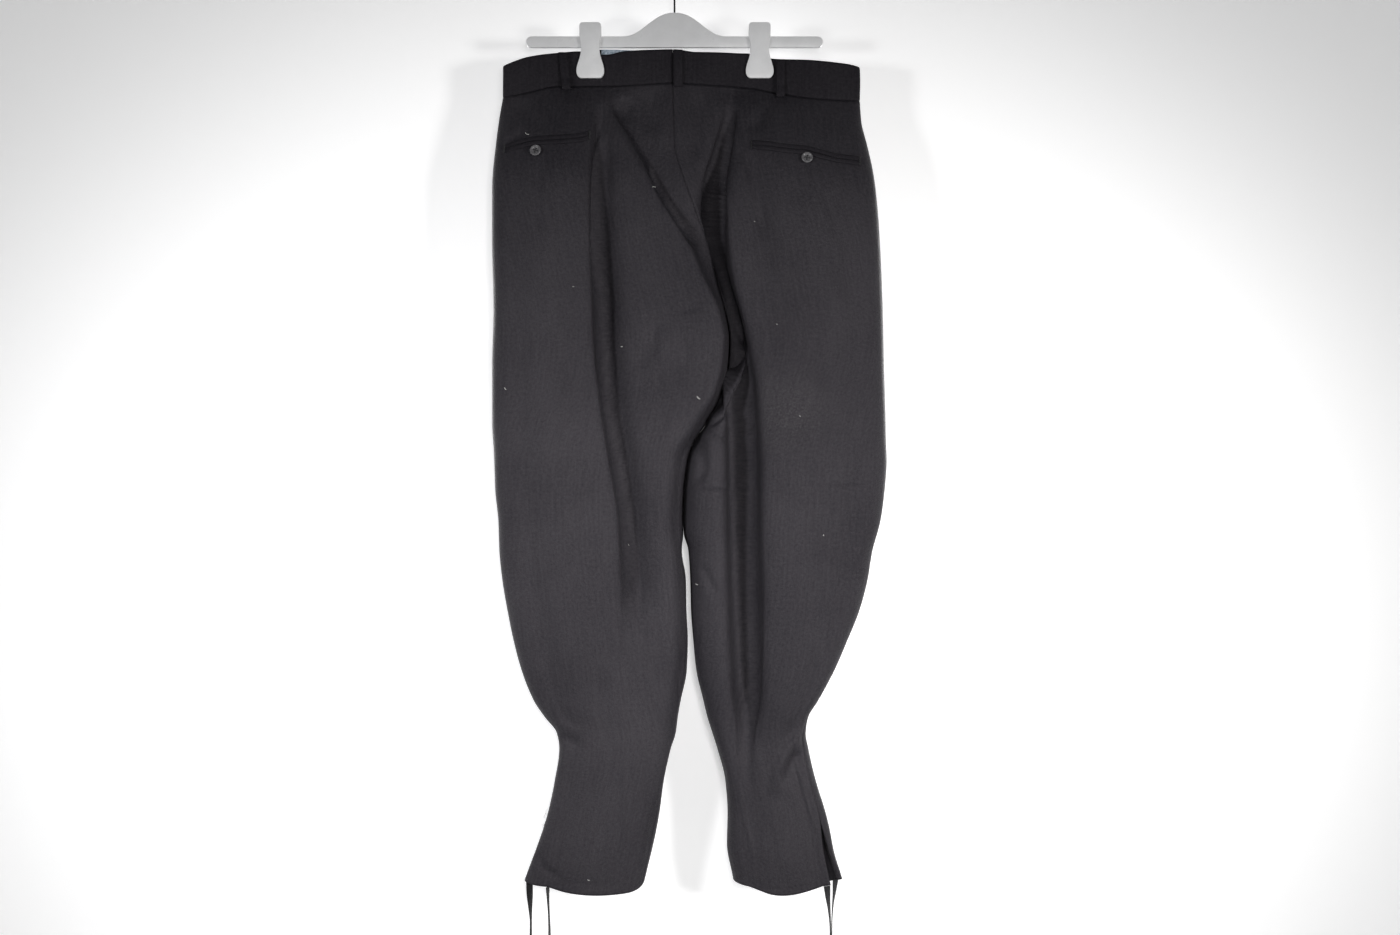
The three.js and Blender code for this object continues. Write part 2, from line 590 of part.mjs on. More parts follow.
// ---------------------------------------------------------------- belt loops
/** A loop sewn below the waist seam and at the band's top edge, arched away between. */
function beltLoop(panelName, x, lean) {
  const panel = panels[panelName];
  const band = bands[panelName];
  const bottom = -seamDrop(x) - 5;
  const top = -band.top(x) - 1;
  const rowCount = 8;
  const outer = [];
  const inner = [];
  for (let row = 0; row <= rowCount; row += 1) {
    const part = row / rowCount;
    const z = bottom + (top - bottom) * part;
    const arch = LOOP_ARCH * Math.sin(Math.PI * part) ** 0.6;
    const centre = x + lean * (part - 0.5);
    const across = [-0.5, 0, 0.5].map((offset) => centre + offset * LOOP_WIDTH);
    const reach = Math.max(...across.map((at) => {
      const below = onCloth(panel.grid, at, -seamDrop(at) - 5);
      const here = onCloth(band.grid, at, clamp(z, -seamDrop(at) + 1, top - 1));
      const blend = 1 - clamp((z + seamDrop(at)) / 10, 0, 1);
      return Math.abs(here.point.y) + Math.max(Math.abs(below.point.y) - Math.abs(here.point.y), 0) * blend;
    }));
    inner.push(across.map((at) => new THREE.Vector3(at, panel.face * (reach + LIFT + arch), z)));
    outer.push(across.map((at) => new THREE.Vector3(at, panel.face * (reach + LIFT + arch + LOOP_WALL), z)));
  }
  return wallGeometry(outer, inner);
}

const beltLoops = named(['name', 'panel', 'x', 'lean'], [
  ['belt_loop_back_left', 'back_left', -131.5, -4.5],
  ['belt_loop_back_centre', 'back_right', 4.5, 0],
  ['belt_loop_back_right', 'back_right', 127, 0],
  ['belt_loop_front_left', 'front_left', -134, 0],
  ['belt_loop_front_right', 'front_right', 140, 0],
]);
for (const { name, panel, x, lean } of beltLoops) add(name, beltLoop(panel, x, lean), cloth);

// ---------------------------------------------------------------- buttons
function buttonGeometry() {
  const half = BUTTON_THICKNESS / 2;
  const profile = [
    [0, -half], [BUTTON_RADIUS * 0.72, -half], [BUTTON_RADIUS, -half * 0.35], [BUTTON_RADIUS, half * 0.45],
    [BUTTON_RADIUS * 0.86, half], [BUTTON_RADIUS * 0.62, half * 0.35], [0, half * 0.3],
  ].map(([radius, height]) => new THREE.Vector2(radius, height));
  let body = solid(new THREE.LatheGeometry(profile, 16));
  const spread = BUTTON_RADIUS * 0.25;
  for (const [x, z] of [[1, 1], [1, -1], [-1, 1], [-1, -1]]) {
    const drill = new THREE.CylinderGeometry(BUTTON_HOLE, BUTTON_HOLE, BUTTON_THICKNESS * 2, 6);
    drill.translate(x * spread, 0, z * spread);
    body = body.subtract(solid(drill));
  }
  return fromSolid(body);
}

/** A button lying on the cloth at (x, z), its face turned the way the cloth faces. */
function addButton(name, grid, x, z, under) {
  const { point, normal } = onCloth(grid, x, z);
  const mesh = add(name, buttonGeometry(), horn);
  mesh.position.copy(point).addScaledVector(normal, under + BUTTON_THICKNESS / 2);
  mesh.quaternion.setFromUnitVectors(new THREE.Vector3(0, 1, 0), normal);
}

const ON_JET = LIFT + JET_WALL + 0.4;
addButton('pocket_button_left', panels.back_left.grid, -163.4, -246.2, ON_JET - 0.7);
addButton('pocket_button_right', panels.back_right.grid, 157, -255.4, ON_JET);
addButton('waist_button', bands.front_left.grid, -18, -141, LIFT + 0.2);

// ---------------------------------------------------------------- inner strip of the waistband
const stripStations = [-88, -80, -72, -64, -56, -48];
const stripRows = [118.9, 125].map((drop) => stripStations.map((x) => {
  const front = onCloth(bands.front_left.grid, x, -drop - 4).point.y - BAND_WALL;
  return new THREE.Vector3(x, Math.max(front - 0.35 - 0.8, -0.4), -drop);
}));
const stripBack = stripRows.map((row) => row.map((p) => p.clone().add(new THREE.Vector3(0, 0.8, 0))));
add('waist_strip', wallGeometry(stripRows, stripBack), lining);

// ---------------------------------------------------------------- tie tapes
// Each tape hangs free from the hem beside a slit. Its route is measured from the hem's edge there:
// sideways, away from the back, and below. Twist is its turn about its own length, in degrees.
const TAPE_REACH = TAPE_END - HEM_LEVEL;
const tapes = {
  tie_left_front: {
    panel: 'front_left', hemX: -175.4,
    route: named(['x', 'y', 'below', 'twist'], [
      [-0.5, 0, 1.2, 8], [-0.2, 0, 14, 22], [0.6, -0.5, 32, 60], [1.4, -1, 52, 82], [1.2, -1, 82, 75],
      [0.5, 0, 117, 60], [0, 1, 157, 70], [0.4, 1, TAPE_REACH, 80],
    ]),
  },
  tie_left_back: {
    panel: 'back_left', hemX: -151,
    route: named(['x', 'y', 'below', 'twist'], [
      [0, 0, 0, 66], [0.4, 1, 14, 78], [1.2, 3, 32, 84], [1.8, 4, 52, 80], [2, 5, 82, 70],
      [1, 6, 117, 64], [0.4, 6, 157, 72], [0.6, 6, TAPE_REACH, 80],
    ]),
  },
  tie_right_back: {
    panel: 'back_right', hemX: 182,
    route: named(['x', 'y', 'below', 'twist'], [
      [0, 0, 0.4, 20], [1.2, 1, 14, 48], [3.2, 3, 32, 72], [4.4, 4, 52, 80], [4.6, 5, 82, 80],
      [4.2, 6, 117, 78], [3.8, 6, 157, 80], [3.8, 6, TAPE_REACH, 82],
    ]),
  },
  tie_right_front: {
    panel: 'front_right', hemX: 194,
    route: named(['x', 'y', 'below', 'twist'], [
      [0, 0, 0, 34], [-1.2, 0, 14, 60], [-3.2, 1, 32, 78], [-4.2, 2, 52, 84], [-4.4, 2, 82, 84],
      [-4.6, 3, 117, 80], [-4.4, 3, 157, 84], [-4.6, 3, TAPE_REACH, 86],
    ]),
  },
};

/** The middle of the wall's lower edge at the hem, at the column nearest to x. */
function hemPoint(panel, x) {
  const hem = panel.grid[panel.grid.length - 1];
  const nearest = hem.reduce((best, cell) => (
    Math.abs(cell.outer.x - x) < Math.abs(best.outer.x - x) ? cell : best));
  return nearest.outer.clone().add(nearest.inner).multiplyScalar(0.5);
}

function tapeGeometry({ panel, hemX, route }) {
  const rowCount = 18;
  const start = hemPoint(panels[panel], hemX);
  const order = route.map((_, i) => i);
  const along = (column) => smoothCurve(order, route.map((row) => row[column]));
  const [xAt, yAt, belowAt, twistAt] = ['x', 'y', 'below', 'twist'].map(along);
  const front = [];
  const back = [];
  for (let row = 0; row <= rowCount; row += 1) {
    const at = row / rowCount * (route.length - 1);
    const angle = THREE.MathUtils.degToRad(twistAt(at));
    const centre = new THREE.Vector3(xAt(at), yAt(at), -SEAM_GAP - belowAt(at)).add(start);
    const across = new THREE.Vector3(Math.cos(angle), Math.sin(angle), 0);
    const out = new THREE.Vector3(Math.sin(angle), -Math.cos(angle), 0).multiplyScalar(TAPE_WALL / 2);
    const edges = [-0.5, 0.5].map((part) => centre.clone().addScaledVector(across, part * TAPE_WIDTH));
    front.push(edges.map((edge) => edge.clone().add(out)));
    back.push(edges.map((edge) => edge.clone().sub(out)));
  }
  return wallGeometry(front, back);
}

for (const [name, settings] of Object.entries(tapes)) add(name, tapeGeometry(settings), tape);

// ---------------------------------------------------------------- hanger
/** A flat outline in x and z, given a depth along y and centred on y = 0. */
function plate(shape, depth, curveSegments, bevel) {
  const geometry = new THREE.ExtrudeGeometry(shape, {
    depth: depth - 2 * bevel, curveSegments, bevelEnabled: bevel > 0, bevelThickness: bevel, bevelSize: bevel,
    bevelOffset: -bevel, bevelSegments: 1,
  });
  geometry.translate(0, 0, -(depth - 2 * bevel) / 2);
  geometry.rotateX(Math.PI / 2);
  return geometry;
}

function barShape() {
  const end = BAR_HALF_LENGTH;
  const round = (BAR_TOP - BAR_BOTTOM) / 2;
  const shape = new THREE.Shape();
  shape.moveTo(-end + round, BAR_BOTTOM);
  shape.lineTo(end - round, BAR_BOTTOM);
  shape.absarc(end - round, BAR_BOTTOM + round, round, -Math.PI / 2, Math.PI / 2, false);
  shape.lineTo(HUMP_HALF_WIDTH, BAR_TOP);
  shape.bezierCurveTo(HUMP_HALF_WIDTH * 0.6, BAR_TOP, HUMP_HALF_WIDTH * 0.45, HUMP_TOP, 0, HUMP_TOP);
  shape.bezierCurveTo(-HUMP_HALF_WIDTH * 0.45, HUMP_TOP, -HUMP_HALF_WIDTH * 0.6, BAR_TOP, -HUMP_HALF_WIDTH, BAR_TOP);
  shape.lineTo(-end + round, BAR_TOP);
  shape.absarc(-end + round, BAR_BOTTOM + round, round, Math.PI / 2, 1.5 * Math.PI, false);
  return shape;
}

add('hanger_bar', plate(barShape(), BAR_HALF_DEPTH * 2, 8, 0.9), plastic);

function hookGeometry() {
  const section = new THREE.Shape();
  section.absarc(0, 0, WIRE_RADIUS, 0, 2 * Math.PI, false);
  const crown = WIRE_RADIUS - HOOK_RADIUS;
  const points = [
    new THREE.Vector3(0, 0, HUMP_TOP + SEAM_GAP), new THREE.Vector3(0, 0, -62), new THREE.Vector3(0, 0, -52),
    new THREE.Vector3(1.6, 0, -45),
  ];
  for (let turn = -62; turn <= 208; turn += 18) {
    const angle = THREE.MathUtils.degToRad(turn);
    points.push(new THREE.Vector3(HOOK_RADIUS * Math.cos(angle), 0, crown + HOOK_RADIUS * Math.sin(angle)));
  }
  return new THREE.ExtrudeGeometry(section, {
    steps: 34, curveSegments: 4, bevelEnabled: false, extrudePath: new THREE.CatmullRomCurve3(points),
  });
}

add('hanger_hook', hookGeometry(), wire);

/** A clip jaw seen from the front: a straight shank, a neck and a bell with round corners. */
function jawShape() {
  const shape = new THREE.Shape();
  shape.moveTo(0, -154.2);
  shape.lineTo(10.5, -154.2);
  shape.bezierCurveTo(15, -154.2, 17.3, -149, 16.6, -143);
  shape.bezierCurveTo(16, -137, 12, -130, 11.2, -121);
  shape.lineTo(11.6, -112);
  shape.bezierCurveTo(12.8, -107, 13, -104, 13, -99);
  shape.lineTo(13, CLIP_TOP - 4);
  shape.absarc(9, CLIP_TOP - 4, 4, 0, Math.PI / 2, false);
  shape.lineTo(-9, CLIP_TOP);
  shape.absarc(-9, CLIP_TOP - 4, 4, Math.PI / 2, Math.PI, false);
  shape.lineTo(-13, -99);
  shape.bezierCurveTo(-13, -104, -12.8, -107, -11.6, -112);
  shape.lineTo(-11.2, -121);
  shape.bezierCurveTo(-12, -130, -16, -137, -16.6, -143);
  shape.bezierCurveTo(-17.3, -149, -15, -154.2, -10.5, -154.2);
  return shape;
}

function jawGeometry(face) {
  const geometry = plate(jawShape(), CLIP_WALL, 3, 0.6);
  const position = geometry.attributes.position;
  for (let i = 0; i < position.count; i += 1) {
    const grip = fade(-position.getZ(i), -BAR_BOTTOM, -GRIP_START);
    const rest = JAW_REST + (JAW_GRIP - JAW_REST) * grip + CLIP_WALL / 2;
    position.setY(i, position.getY(i) + face * rest);
  }
  return geometry;
}

for (const side of ['left', 'right']) {
  const bridge = new THREE.BoxGeometry(22, BRIDGE_FRONT - BRIDGE_BACK, 11);
  bridge.translate(0, (BRIDGE_FRONT + BRIDGE_BACK) / 2, -96.6);
  const backJaw = fromSolid(solid(jawGeometry(-1)).add(solid(bridge)));
  add(`clip_${side}_back`, backJaw.translate(CLIP_X[side], 0, 0), plastic);
  add(`clip_${side}_front`, jawGeometry(1).translate(CLIP_X[side], 0, 0), plastic);
}

export default trousers;
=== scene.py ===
"""Puffed trousers of black wool twill on a clip hanger, seen from the back.

The cloth is worked out from the same sections as the frame's solids, in millimetres: "drop" is the distance
below the hook's crown, x runs to the wearer's right, and the back of the trousers faces -Y.
"""
import json
import math
import random

import bmesh
import bpy
import numpy as np
from mathutils import Matrix, Vector
from mathutils.bvhtree import BVHTree
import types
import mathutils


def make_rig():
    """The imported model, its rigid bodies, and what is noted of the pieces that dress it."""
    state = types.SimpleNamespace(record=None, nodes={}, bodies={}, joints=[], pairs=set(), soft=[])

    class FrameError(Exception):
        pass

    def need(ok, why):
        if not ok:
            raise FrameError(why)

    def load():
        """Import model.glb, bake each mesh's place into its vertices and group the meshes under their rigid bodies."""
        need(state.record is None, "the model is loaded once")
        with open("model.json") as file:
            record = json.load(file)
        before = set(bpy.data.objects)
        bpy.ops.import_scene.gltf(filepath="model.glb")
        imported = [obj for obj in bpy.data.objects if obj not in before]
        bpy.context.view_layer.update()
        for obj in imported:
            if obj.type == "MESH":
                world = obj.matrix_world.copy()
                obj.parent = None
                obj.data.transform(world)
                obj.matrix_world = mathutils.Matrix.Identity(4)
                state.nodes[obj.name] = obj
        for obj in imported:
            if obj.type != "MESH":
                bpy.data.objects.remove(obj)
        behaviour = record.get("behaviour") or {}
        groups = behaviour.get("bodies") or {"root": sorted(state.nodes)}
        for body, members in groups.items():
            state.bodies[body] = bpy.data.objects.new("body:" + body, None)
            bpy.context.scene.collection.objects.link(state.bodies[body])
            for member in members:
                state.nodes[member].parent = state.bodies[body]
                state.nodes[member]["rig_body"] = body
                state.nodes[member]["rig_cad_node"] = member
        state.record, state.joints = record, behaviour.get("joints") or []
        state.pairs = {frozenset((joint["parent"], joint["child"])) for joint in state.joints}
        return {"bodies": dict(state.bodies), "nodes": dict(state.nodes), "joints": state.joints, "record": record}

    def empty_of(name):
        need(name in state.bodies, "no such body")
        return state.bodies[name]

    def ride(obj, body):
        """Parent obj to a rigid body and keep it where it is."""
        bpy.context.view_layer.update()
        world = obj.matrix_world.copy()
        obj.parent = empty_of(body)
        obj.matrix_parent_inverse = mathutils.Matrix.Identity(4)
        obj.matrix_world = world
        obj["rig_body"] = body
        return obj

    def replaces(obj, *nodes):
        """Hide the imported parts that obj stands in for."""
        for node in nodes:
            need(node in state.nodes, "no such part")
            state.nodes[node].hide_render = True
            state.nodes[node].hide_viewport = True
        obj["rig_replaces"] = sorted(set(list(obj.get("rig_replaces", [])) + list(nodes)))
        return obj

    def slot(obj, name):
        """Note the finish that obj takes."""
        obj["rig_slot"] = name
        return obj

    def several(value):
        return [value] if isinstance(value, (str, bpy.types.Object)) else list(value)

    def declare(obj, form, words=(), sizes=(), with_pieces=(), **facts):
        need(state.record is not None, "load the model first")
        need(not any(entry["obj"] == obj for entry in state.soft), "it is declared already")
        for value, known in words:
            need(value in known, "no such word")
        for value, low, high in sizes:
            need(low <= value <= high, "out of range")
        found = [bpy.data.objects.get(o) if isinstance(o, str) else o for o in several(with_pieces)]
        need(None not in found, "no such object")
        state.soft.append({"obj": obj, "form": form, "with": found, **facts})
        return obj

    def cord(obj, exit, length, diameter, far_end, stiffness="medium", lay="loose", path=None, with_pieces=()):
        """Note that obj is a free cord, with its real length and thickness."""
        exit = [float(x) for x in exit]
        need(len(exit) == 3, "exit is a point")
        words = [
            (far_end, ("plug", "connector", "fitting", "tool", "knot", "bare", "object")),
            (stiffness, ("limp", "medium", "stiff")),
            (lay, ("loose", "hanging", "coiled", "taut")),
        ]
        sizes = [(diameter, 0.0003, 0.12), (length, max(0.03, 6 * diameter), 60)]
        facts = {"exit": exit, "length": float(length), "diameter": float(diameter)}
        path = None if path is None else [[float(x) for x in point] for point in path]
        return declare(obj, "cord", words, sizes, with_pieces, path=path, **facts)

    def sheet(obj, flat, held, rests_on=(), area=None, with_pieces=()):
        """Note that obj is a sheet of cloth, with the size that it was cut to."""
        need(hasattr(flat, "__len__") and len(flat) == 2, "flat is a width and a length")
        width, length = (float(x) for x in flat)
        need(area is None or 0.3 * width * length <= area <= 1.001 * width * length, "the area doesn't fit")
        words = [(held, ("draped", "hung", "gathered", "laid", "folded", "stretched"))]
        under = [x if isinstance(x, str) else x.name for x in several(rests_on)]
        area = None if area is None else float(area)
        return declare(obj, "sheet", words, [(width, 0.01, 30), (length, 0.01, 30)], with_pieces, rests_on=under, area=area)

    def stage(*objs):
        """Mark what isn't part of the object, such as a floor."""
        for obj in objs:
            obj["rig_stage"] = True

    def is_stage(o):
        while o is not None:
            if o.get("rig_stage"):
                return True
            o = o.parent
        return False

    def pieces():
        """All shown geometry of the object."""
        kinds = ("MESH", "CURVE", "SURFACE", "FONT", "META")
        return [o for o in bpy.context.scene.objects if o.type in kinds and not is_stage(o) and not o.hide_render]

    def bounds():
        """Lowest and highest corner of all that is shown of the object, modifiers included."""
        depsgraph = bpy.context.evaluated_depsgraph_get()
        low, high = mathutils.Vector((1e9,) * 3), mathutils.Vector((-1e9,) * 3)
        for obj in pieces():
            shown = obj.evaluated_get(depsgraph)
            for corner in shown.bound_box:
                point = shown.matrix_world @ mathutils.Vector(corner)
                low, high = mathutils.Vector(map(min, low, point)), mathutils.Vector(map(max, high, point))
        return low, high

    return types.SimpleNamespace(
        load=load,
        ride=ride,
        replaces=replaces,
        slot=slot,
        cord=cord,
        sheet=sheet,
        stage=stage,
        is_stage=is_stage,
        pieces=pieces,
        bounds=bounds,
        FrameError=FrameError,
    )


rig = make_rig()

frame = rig.load()
cad_box = [list(corner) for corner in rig.bounds()]

MM = 0.001
PER_METRE = 1000.0
WALL = 1.8
SEAM_GAP = 0.1
ALLOWANCE = 6
WAIST_LEVEL = 165
WAIST_FADE = 262
CROTCH_LEVEL = 568
HEM_LEVEL = 1118
HEM_FADE = 1050
HEM_SAG = 16
HEM_RISE = 5
EDGE_ROLL = 0.67
TAPE_WIDTH = 8
TAPE_WALL = 1
TAPE_REACH = 202
CLIP_X = {"left": -100.8, "right": 102.1}
BODY = "root"
rng = random.Random(7)


def linked(name, data):
    """A new object in the scene, made of its data."""
    thing = bpy.data.objects.new(name, data)
    bpy.context.collection.objects.link(thing)
    return thing


# ---- camera and light
VIEW_X = 30.6
VIEW_Z = -620.4
VIEW_DISTANCE = 2400
VIEW_WIDTH = 1680
SENSOR = 36


def make_camera():
    """Looks along +Y at the back of the trousers."""
    data = bpy.data.cameras.new("camera")
    data.sensor_width = SENSOR
    data.lens = SENSOR * VIEW_DISTANCE / VIEW_WIDTH
    camera = linked("camera", data)
    camera.location = (VIEW_X * MM, -VIEW_DISTANCE * MM, VIEW_Z * MM)
    camera.rotation_euler = (math.radians(90), 0, 0)
    bpy.context.scene.camera = camera


def area_light(name, place, target, power, size, colour=(1, 1, 1), spread=180):
    """A round light, in metres and watts, whose beam is "spread" degrees wide."""
    data = bpy.data.lights.new(name, "AREA")
    data.shape = "DISK"
    data.size = size
    data.energy = power
    data.color = colour
    data.spread = math.radians(spread)
    light = linked(name, data)
    light.location = place
    light.rotation_euler = (Vector(target) - Vector(place)).to_track_quat("-Z", "Y").to_euler()


make_camera()
CENTRE = (0.03, 0, -0.62)
LOW_RIGHT = (0.13, 0, -0.8)
LOW_LEFT = (-0.13, 0, -0.8)
LOW_MIDDLE = (0, 0, -0.74)
area_light("side_right", (2.1, -2.15, -0.5), LOW_RIGHT, 2.8, 0.5, (1.0, 0.99, 0.975), 37)
area_light("side_left", (-2.05, -2.15, -0.5), LOW_LEFT, 2.2, 0.5, (0.985, 0.99, 1.0), 37)
area_light("front", (0.2, -2.5, -0.45), LOW_MIDDLE, 1.3, 0.3, (1.0, 0.99, 0.98), 42)
area_light("back_right", (1.3, 2.3, -0.3), CENTRE, 26, 0.9)
area_light("back_left", (-1.3, 2.3, -0.3), CENTRE, 22, 0.9)

world = bpy.data.worlds.new("studio")
bpy.context.scene.world = world
world.use_nodes = True
background = world.node_tree.nodes["Background"]
background.inputs["Color"].default_value = (0.96, 0.97, 1.0, 1)
background.inputs["Strength"].default_value = 0.04
bpy.context.scene.view_settings.view_transform = "Standard"


# ---- node helpers
class Nodes:
    """Adds nodes to a tree and wires them."""

    def __init__(self, tree):
        self.tree = tree

    def add(self, kind, settings=None, **inputs):
        node = self.tree.nodes.new(kind)
        for name, value in (settings or {}).items():
            setattr(node, name, value)
        for name, value in inputs.items():
            self.feed(node.inputs[name.replace("_", " ")], value)
        return node

    def feed(self, socket, value):
        if isinstance(value, bpy.types.NodeSocket):
            self.tree.links.new(value, socket)
        else:
            socket.default_value = value

    def maths(self, operation, first, second):
        node = self.add("ShaderNodeMath", {"operation": operation})
        self.feed(node.inputs[0], first)
        self.feed(node.inputs[1], second)
        return node.outputs[0]

    def times(self, first, second):
        return self.maths("MULTIPLY", first, second)

    def plus(self, first, second):
        return self.maths("ADD", first, second)

    def wave(self, value, length):
        return self.maths("SINE", self.times(value, math.tau / length), 0.0)

    def noise(self, vector, scale, detail=3.0, roughness=0.5):
        node = self.add("ShaderNodeTexNoise", Vector=vector, Scale=scale, Detail=detail, Roughness=roughness)
        return node.outputs["Fac"]

    def spread(self, value, low, high, out_low=0.0, out_high=1.0):
        """value from low..high to out_low..out_high, clamped."""
        node = self.tree.nodes.new("ShaderNodeMapRange")
        for name, given in (("Value", value), ("From Min", low), ("From Max", high), ("To Min", out_low),
                            ("To Max", out_high)):
            self.feed(node.inputs[name], given)
        return node.outputs["Result"]

    def blend(self, factor, first, second):
        node = self.tree.nodes.new("ShaderNodeMix")
        node.data_type = "RGBA"
        self.feed(node.inputs[0], factor)
        self.feed(node.inputs[6], first)
        self.feed(node.inputs[7], second)
        return node.outputs[2]


def make_group(name, inputs, outputs):
    """A shader node group with named sockets, each input with its default."""
    group = bpy.data.node_groups.new(name, "ShaderNodeTree")
    for label, kind, default in inputs:
        socket = group.interface.new_socket(label, in_out="INPUT", socket_type=kind)
        if default is not None:
            socket.default_value = default
    for label, kind in outputs:
        group.interface.new_socket(label, in_out="OUTPUT", socket_type=kind)
    nodes = Nodes(group)
    return group, nodes, nodes.add("NodeGroupInput"), nodes.add("NodeGroupOutput")


def twill_group():
    """Diagonal ribs of crossing yarns on the cloth's own map, which is in millimetres."""
    group, nodes, given, made = make_group(
        "twill", [("Vector", "NodeSocketVector", None), ("Rib", "NodeSocketFloat", 0.9),
                  ("Slope", "NodeSocketFloat", 1.6), ("Fuzz", "NodeSocketFloat", 0.5)],
        [("Height", "NodeSocketFloat"), ("Tone", "NodeSocketFloat")])
    split = nodes.add("ShaderNodeSeparateXYZ", Vector=given.outputs["Vector"])
    across, down = split.outputs["X"], split.outputs["Y"]
    drift = nodes.noise(given.outputs["Vector"], 0.05, 2.0)
    diagonal = nodes.plus(nodes.times(across, given.outputs["Slope"]), down)
    turns = nodes.plus(nodes.maths("DIVIDE", diagonal, given.outputs["Rib"]), drift)
    ribs = nodes.wave(turns, 1)
    yarns = nodes.wave(across, 0.55)
    woven = nodes.plus(nodes.times(ribs, 0.36), nodes.times(yarns, 0.14))
    fuzz = nodes.noise(given.outputs["Vector"], 1.7, 4.0, 0.65)
    hair = nodes.times(nodes.maths("SUBTRACT", fuzz, 0.5), given.outputs["Fuzz"])
    height = nodes.plus(nodes.plus(woven, 0.5), hair)
    nodes.feed(made.inputs["Height"], height)
    streak = nodes.add("ShaderNodeMapping", Vector=given.outputs["Vector"], Scale=(0.35, 0.02, 1.0))
    slub = nodes.noise(streak.outputs["Vector"], 1.0, 4.0, 0.6)
    nodes.feed(made.inputs["Tone"], nodes.plus(nodes.times(slub, 0.6), nodes.times(fuzz, 0.4)))
    return group


def haze_group():
    """Worn, dusty places: a soft patch at a place on the object, broken up by noise."""
    group, nodes, given, made = make_group(
        "haze", [("Place", "NodeSocketVector", (0, 0, 0)), ("Radius", "NodeSocketFloat", 0.05)],
        [("Mask", "NodeSocketFloat")])
    coords = nodes.add("ShaderNodeTexCoord").outputs["Object"]
    apart = nodes.add("ShaderNodeVectorMath", {"operation": "DISTANCE"})
    nodes.feed(apart.inputs[0], coords)
    nodes.feed(apart.inputs[1], given.outputs["Place"])
    reach = nodes.maths("DIVIDE", apart.outputs["Value"], given.outputs["Radius"])
    grain = nodes.noise(coords, 420.0, 4.0, 0.7)
    broken = nodes.spread(grain, 0.42, 0.72)
    nodes.feed(made.inputs["Mask"], nodes.times(nodes.spread(reach, 1.0, 0.0), broken))
    return group


TWILL_RIB = 0.95
WORN_PLACE = (0.135, -0.05, -0.555)
WORN_RADIUS = 0.06
WORN_SHARE = 0.22
DUST = (0.16, 0.155, 0.15, 1)
TWILL = twill_group()
HAZE = haze_group()


def group_node(nodes, group, **inputs):
    """A node that runs a group with the given inputs."""
    node = nodes.tree.nodes.new("ShaderNodeGroup")
    node.node_tree = group
    for name, value in inputs.items():
        nodes.feed(node.inputs[name], value)
    return node


def new_material(name, roughness, specular, **constants):
    """A material, the helper for its nodes, and its shader with constant inputs set."""
    material = bpy.data.materials.new(name)
    material.use_nodes = True
    shader = material.node_tree.nodes["Principled BSDF"]
    shader.inputs["Roughness"].default_value = roughness
    shader.inputs["Specular IOR Level"].default_value = specular
    for label, value in constants.items():
        shader.inputs[label.replace("_", " ")].default_value = value
    return material, Nodes(material.node_tree), shader


def mapped(nodes, scale):
    """The piece's own map, in metres, scaled to the pattern's units."""
    uv = nodes.add("ShaderNodeTexCoord").outputs["UV"]
    return nodes.add("ShaderNodeMapping", Vector=uv, Scale=(scale, scale, scale)).outputs["Vector"]


def bump(nodes, shader, height, strength, distance):
    node = nodes.add("ShaderNodeBump", Strength=strength, Distance=distance, Height=height)
    nodes.feed(shader.inputs["Normal"], node.outputs["Normal"])


def wool(name, dark, light, specular=0.2, haze=True):
    """Worsted twill: its tone from weave, cloud and slub, with a faint sheen across the fibres."""
    material, nodes, shader = new_material(name, 0.5, specular, Anisotropic=0.6)
    shader.inputs["Specular Tint"].default_value = (1.0, 0.92, 0.99, 1)
    fibres = nodes.add("ShaderNodeTangent", {"direction_type": "UV_MAP", "uv_map": "UVMap"})
    nodes.feed(shader.inputs["Tangent"], fibres.outputs["Tangent"])
    cloth_map = mapped(nodes, PER_METRE)
    weave = group_node(nodes, TWILL, Vector=cloth_map, Rib=TWILL_RIB)
    coords = nodes.add("ShaderNodeTexCoord").outputs["Object"]
    cloud = nodes.noise(coords, 9.0, 3.0)
    slub = nodes.noise(cloth_map, 0.28, 5.0, 0.8)
    tone = 0.0
    for value, share in ((weave.outputs["Tone"], 0.35), (cloud, 0.25), (slub, 0.55)):
        tone = nodes.plus(nodes.times(value, share), tone)
    colour = nodes.blend(nodes.spread(tone, 0.47, 0.69), (*dark, 1), (*light, 1))
    if haze:
        patch = group_node(nodes, HAZE, Place=WORN_PLACE, Radius=WORN_RADIUS)
        colour = nodes.blend(nodes.times(patch.outputs["Mask"], WORN_SHARE), colour, DUST)
    nodes.feed(shader.inputs["Base Color"], colour)
    height = weave.outputs["Height"]
    nodes.feed(shader.inputs["Roughness"], nodes.spread(nodes.plus(cloud, height), 0.6, 1.4, 0.53, 0.47))
    bump(nodes, shader, nodes.plus(nodes.times(slub, 3.0), nodes.times(height, 0.3)), 0.9, 0.0003)
    return material


def plain_cloth(name, dark, light, roughness=0.85):
    """A fine plain weave with a small woven check of lighter threads."""
    material, nodes, shader = new_material(name, roughness, 0.3, Sheen_Weight=0.1)
    weave_map = mapped(nodes, PER_METRE)
    split = nodes.add("ShaderNodeSeparateXYZ", Vector=weave_map)
    warp, weft = (nodes.wave(split.outputs[axis], 0.5) for axis in "XY")
    mottle = nodes.noise(weave_map, 0.35, 4.0, 0.6)
    mix = nodes.plus(nodes.spread(mottle, 0.35, 0.65), nodes.times(warp, 0.12))
    nodes.feed(shader.inputs["Base Color"], nodes.blend(mix, (*dark, 1), (*light, 1)))
    bump(nodes, shader, nodes.times(warp, weft), 0.4, 0.0002)
    return material


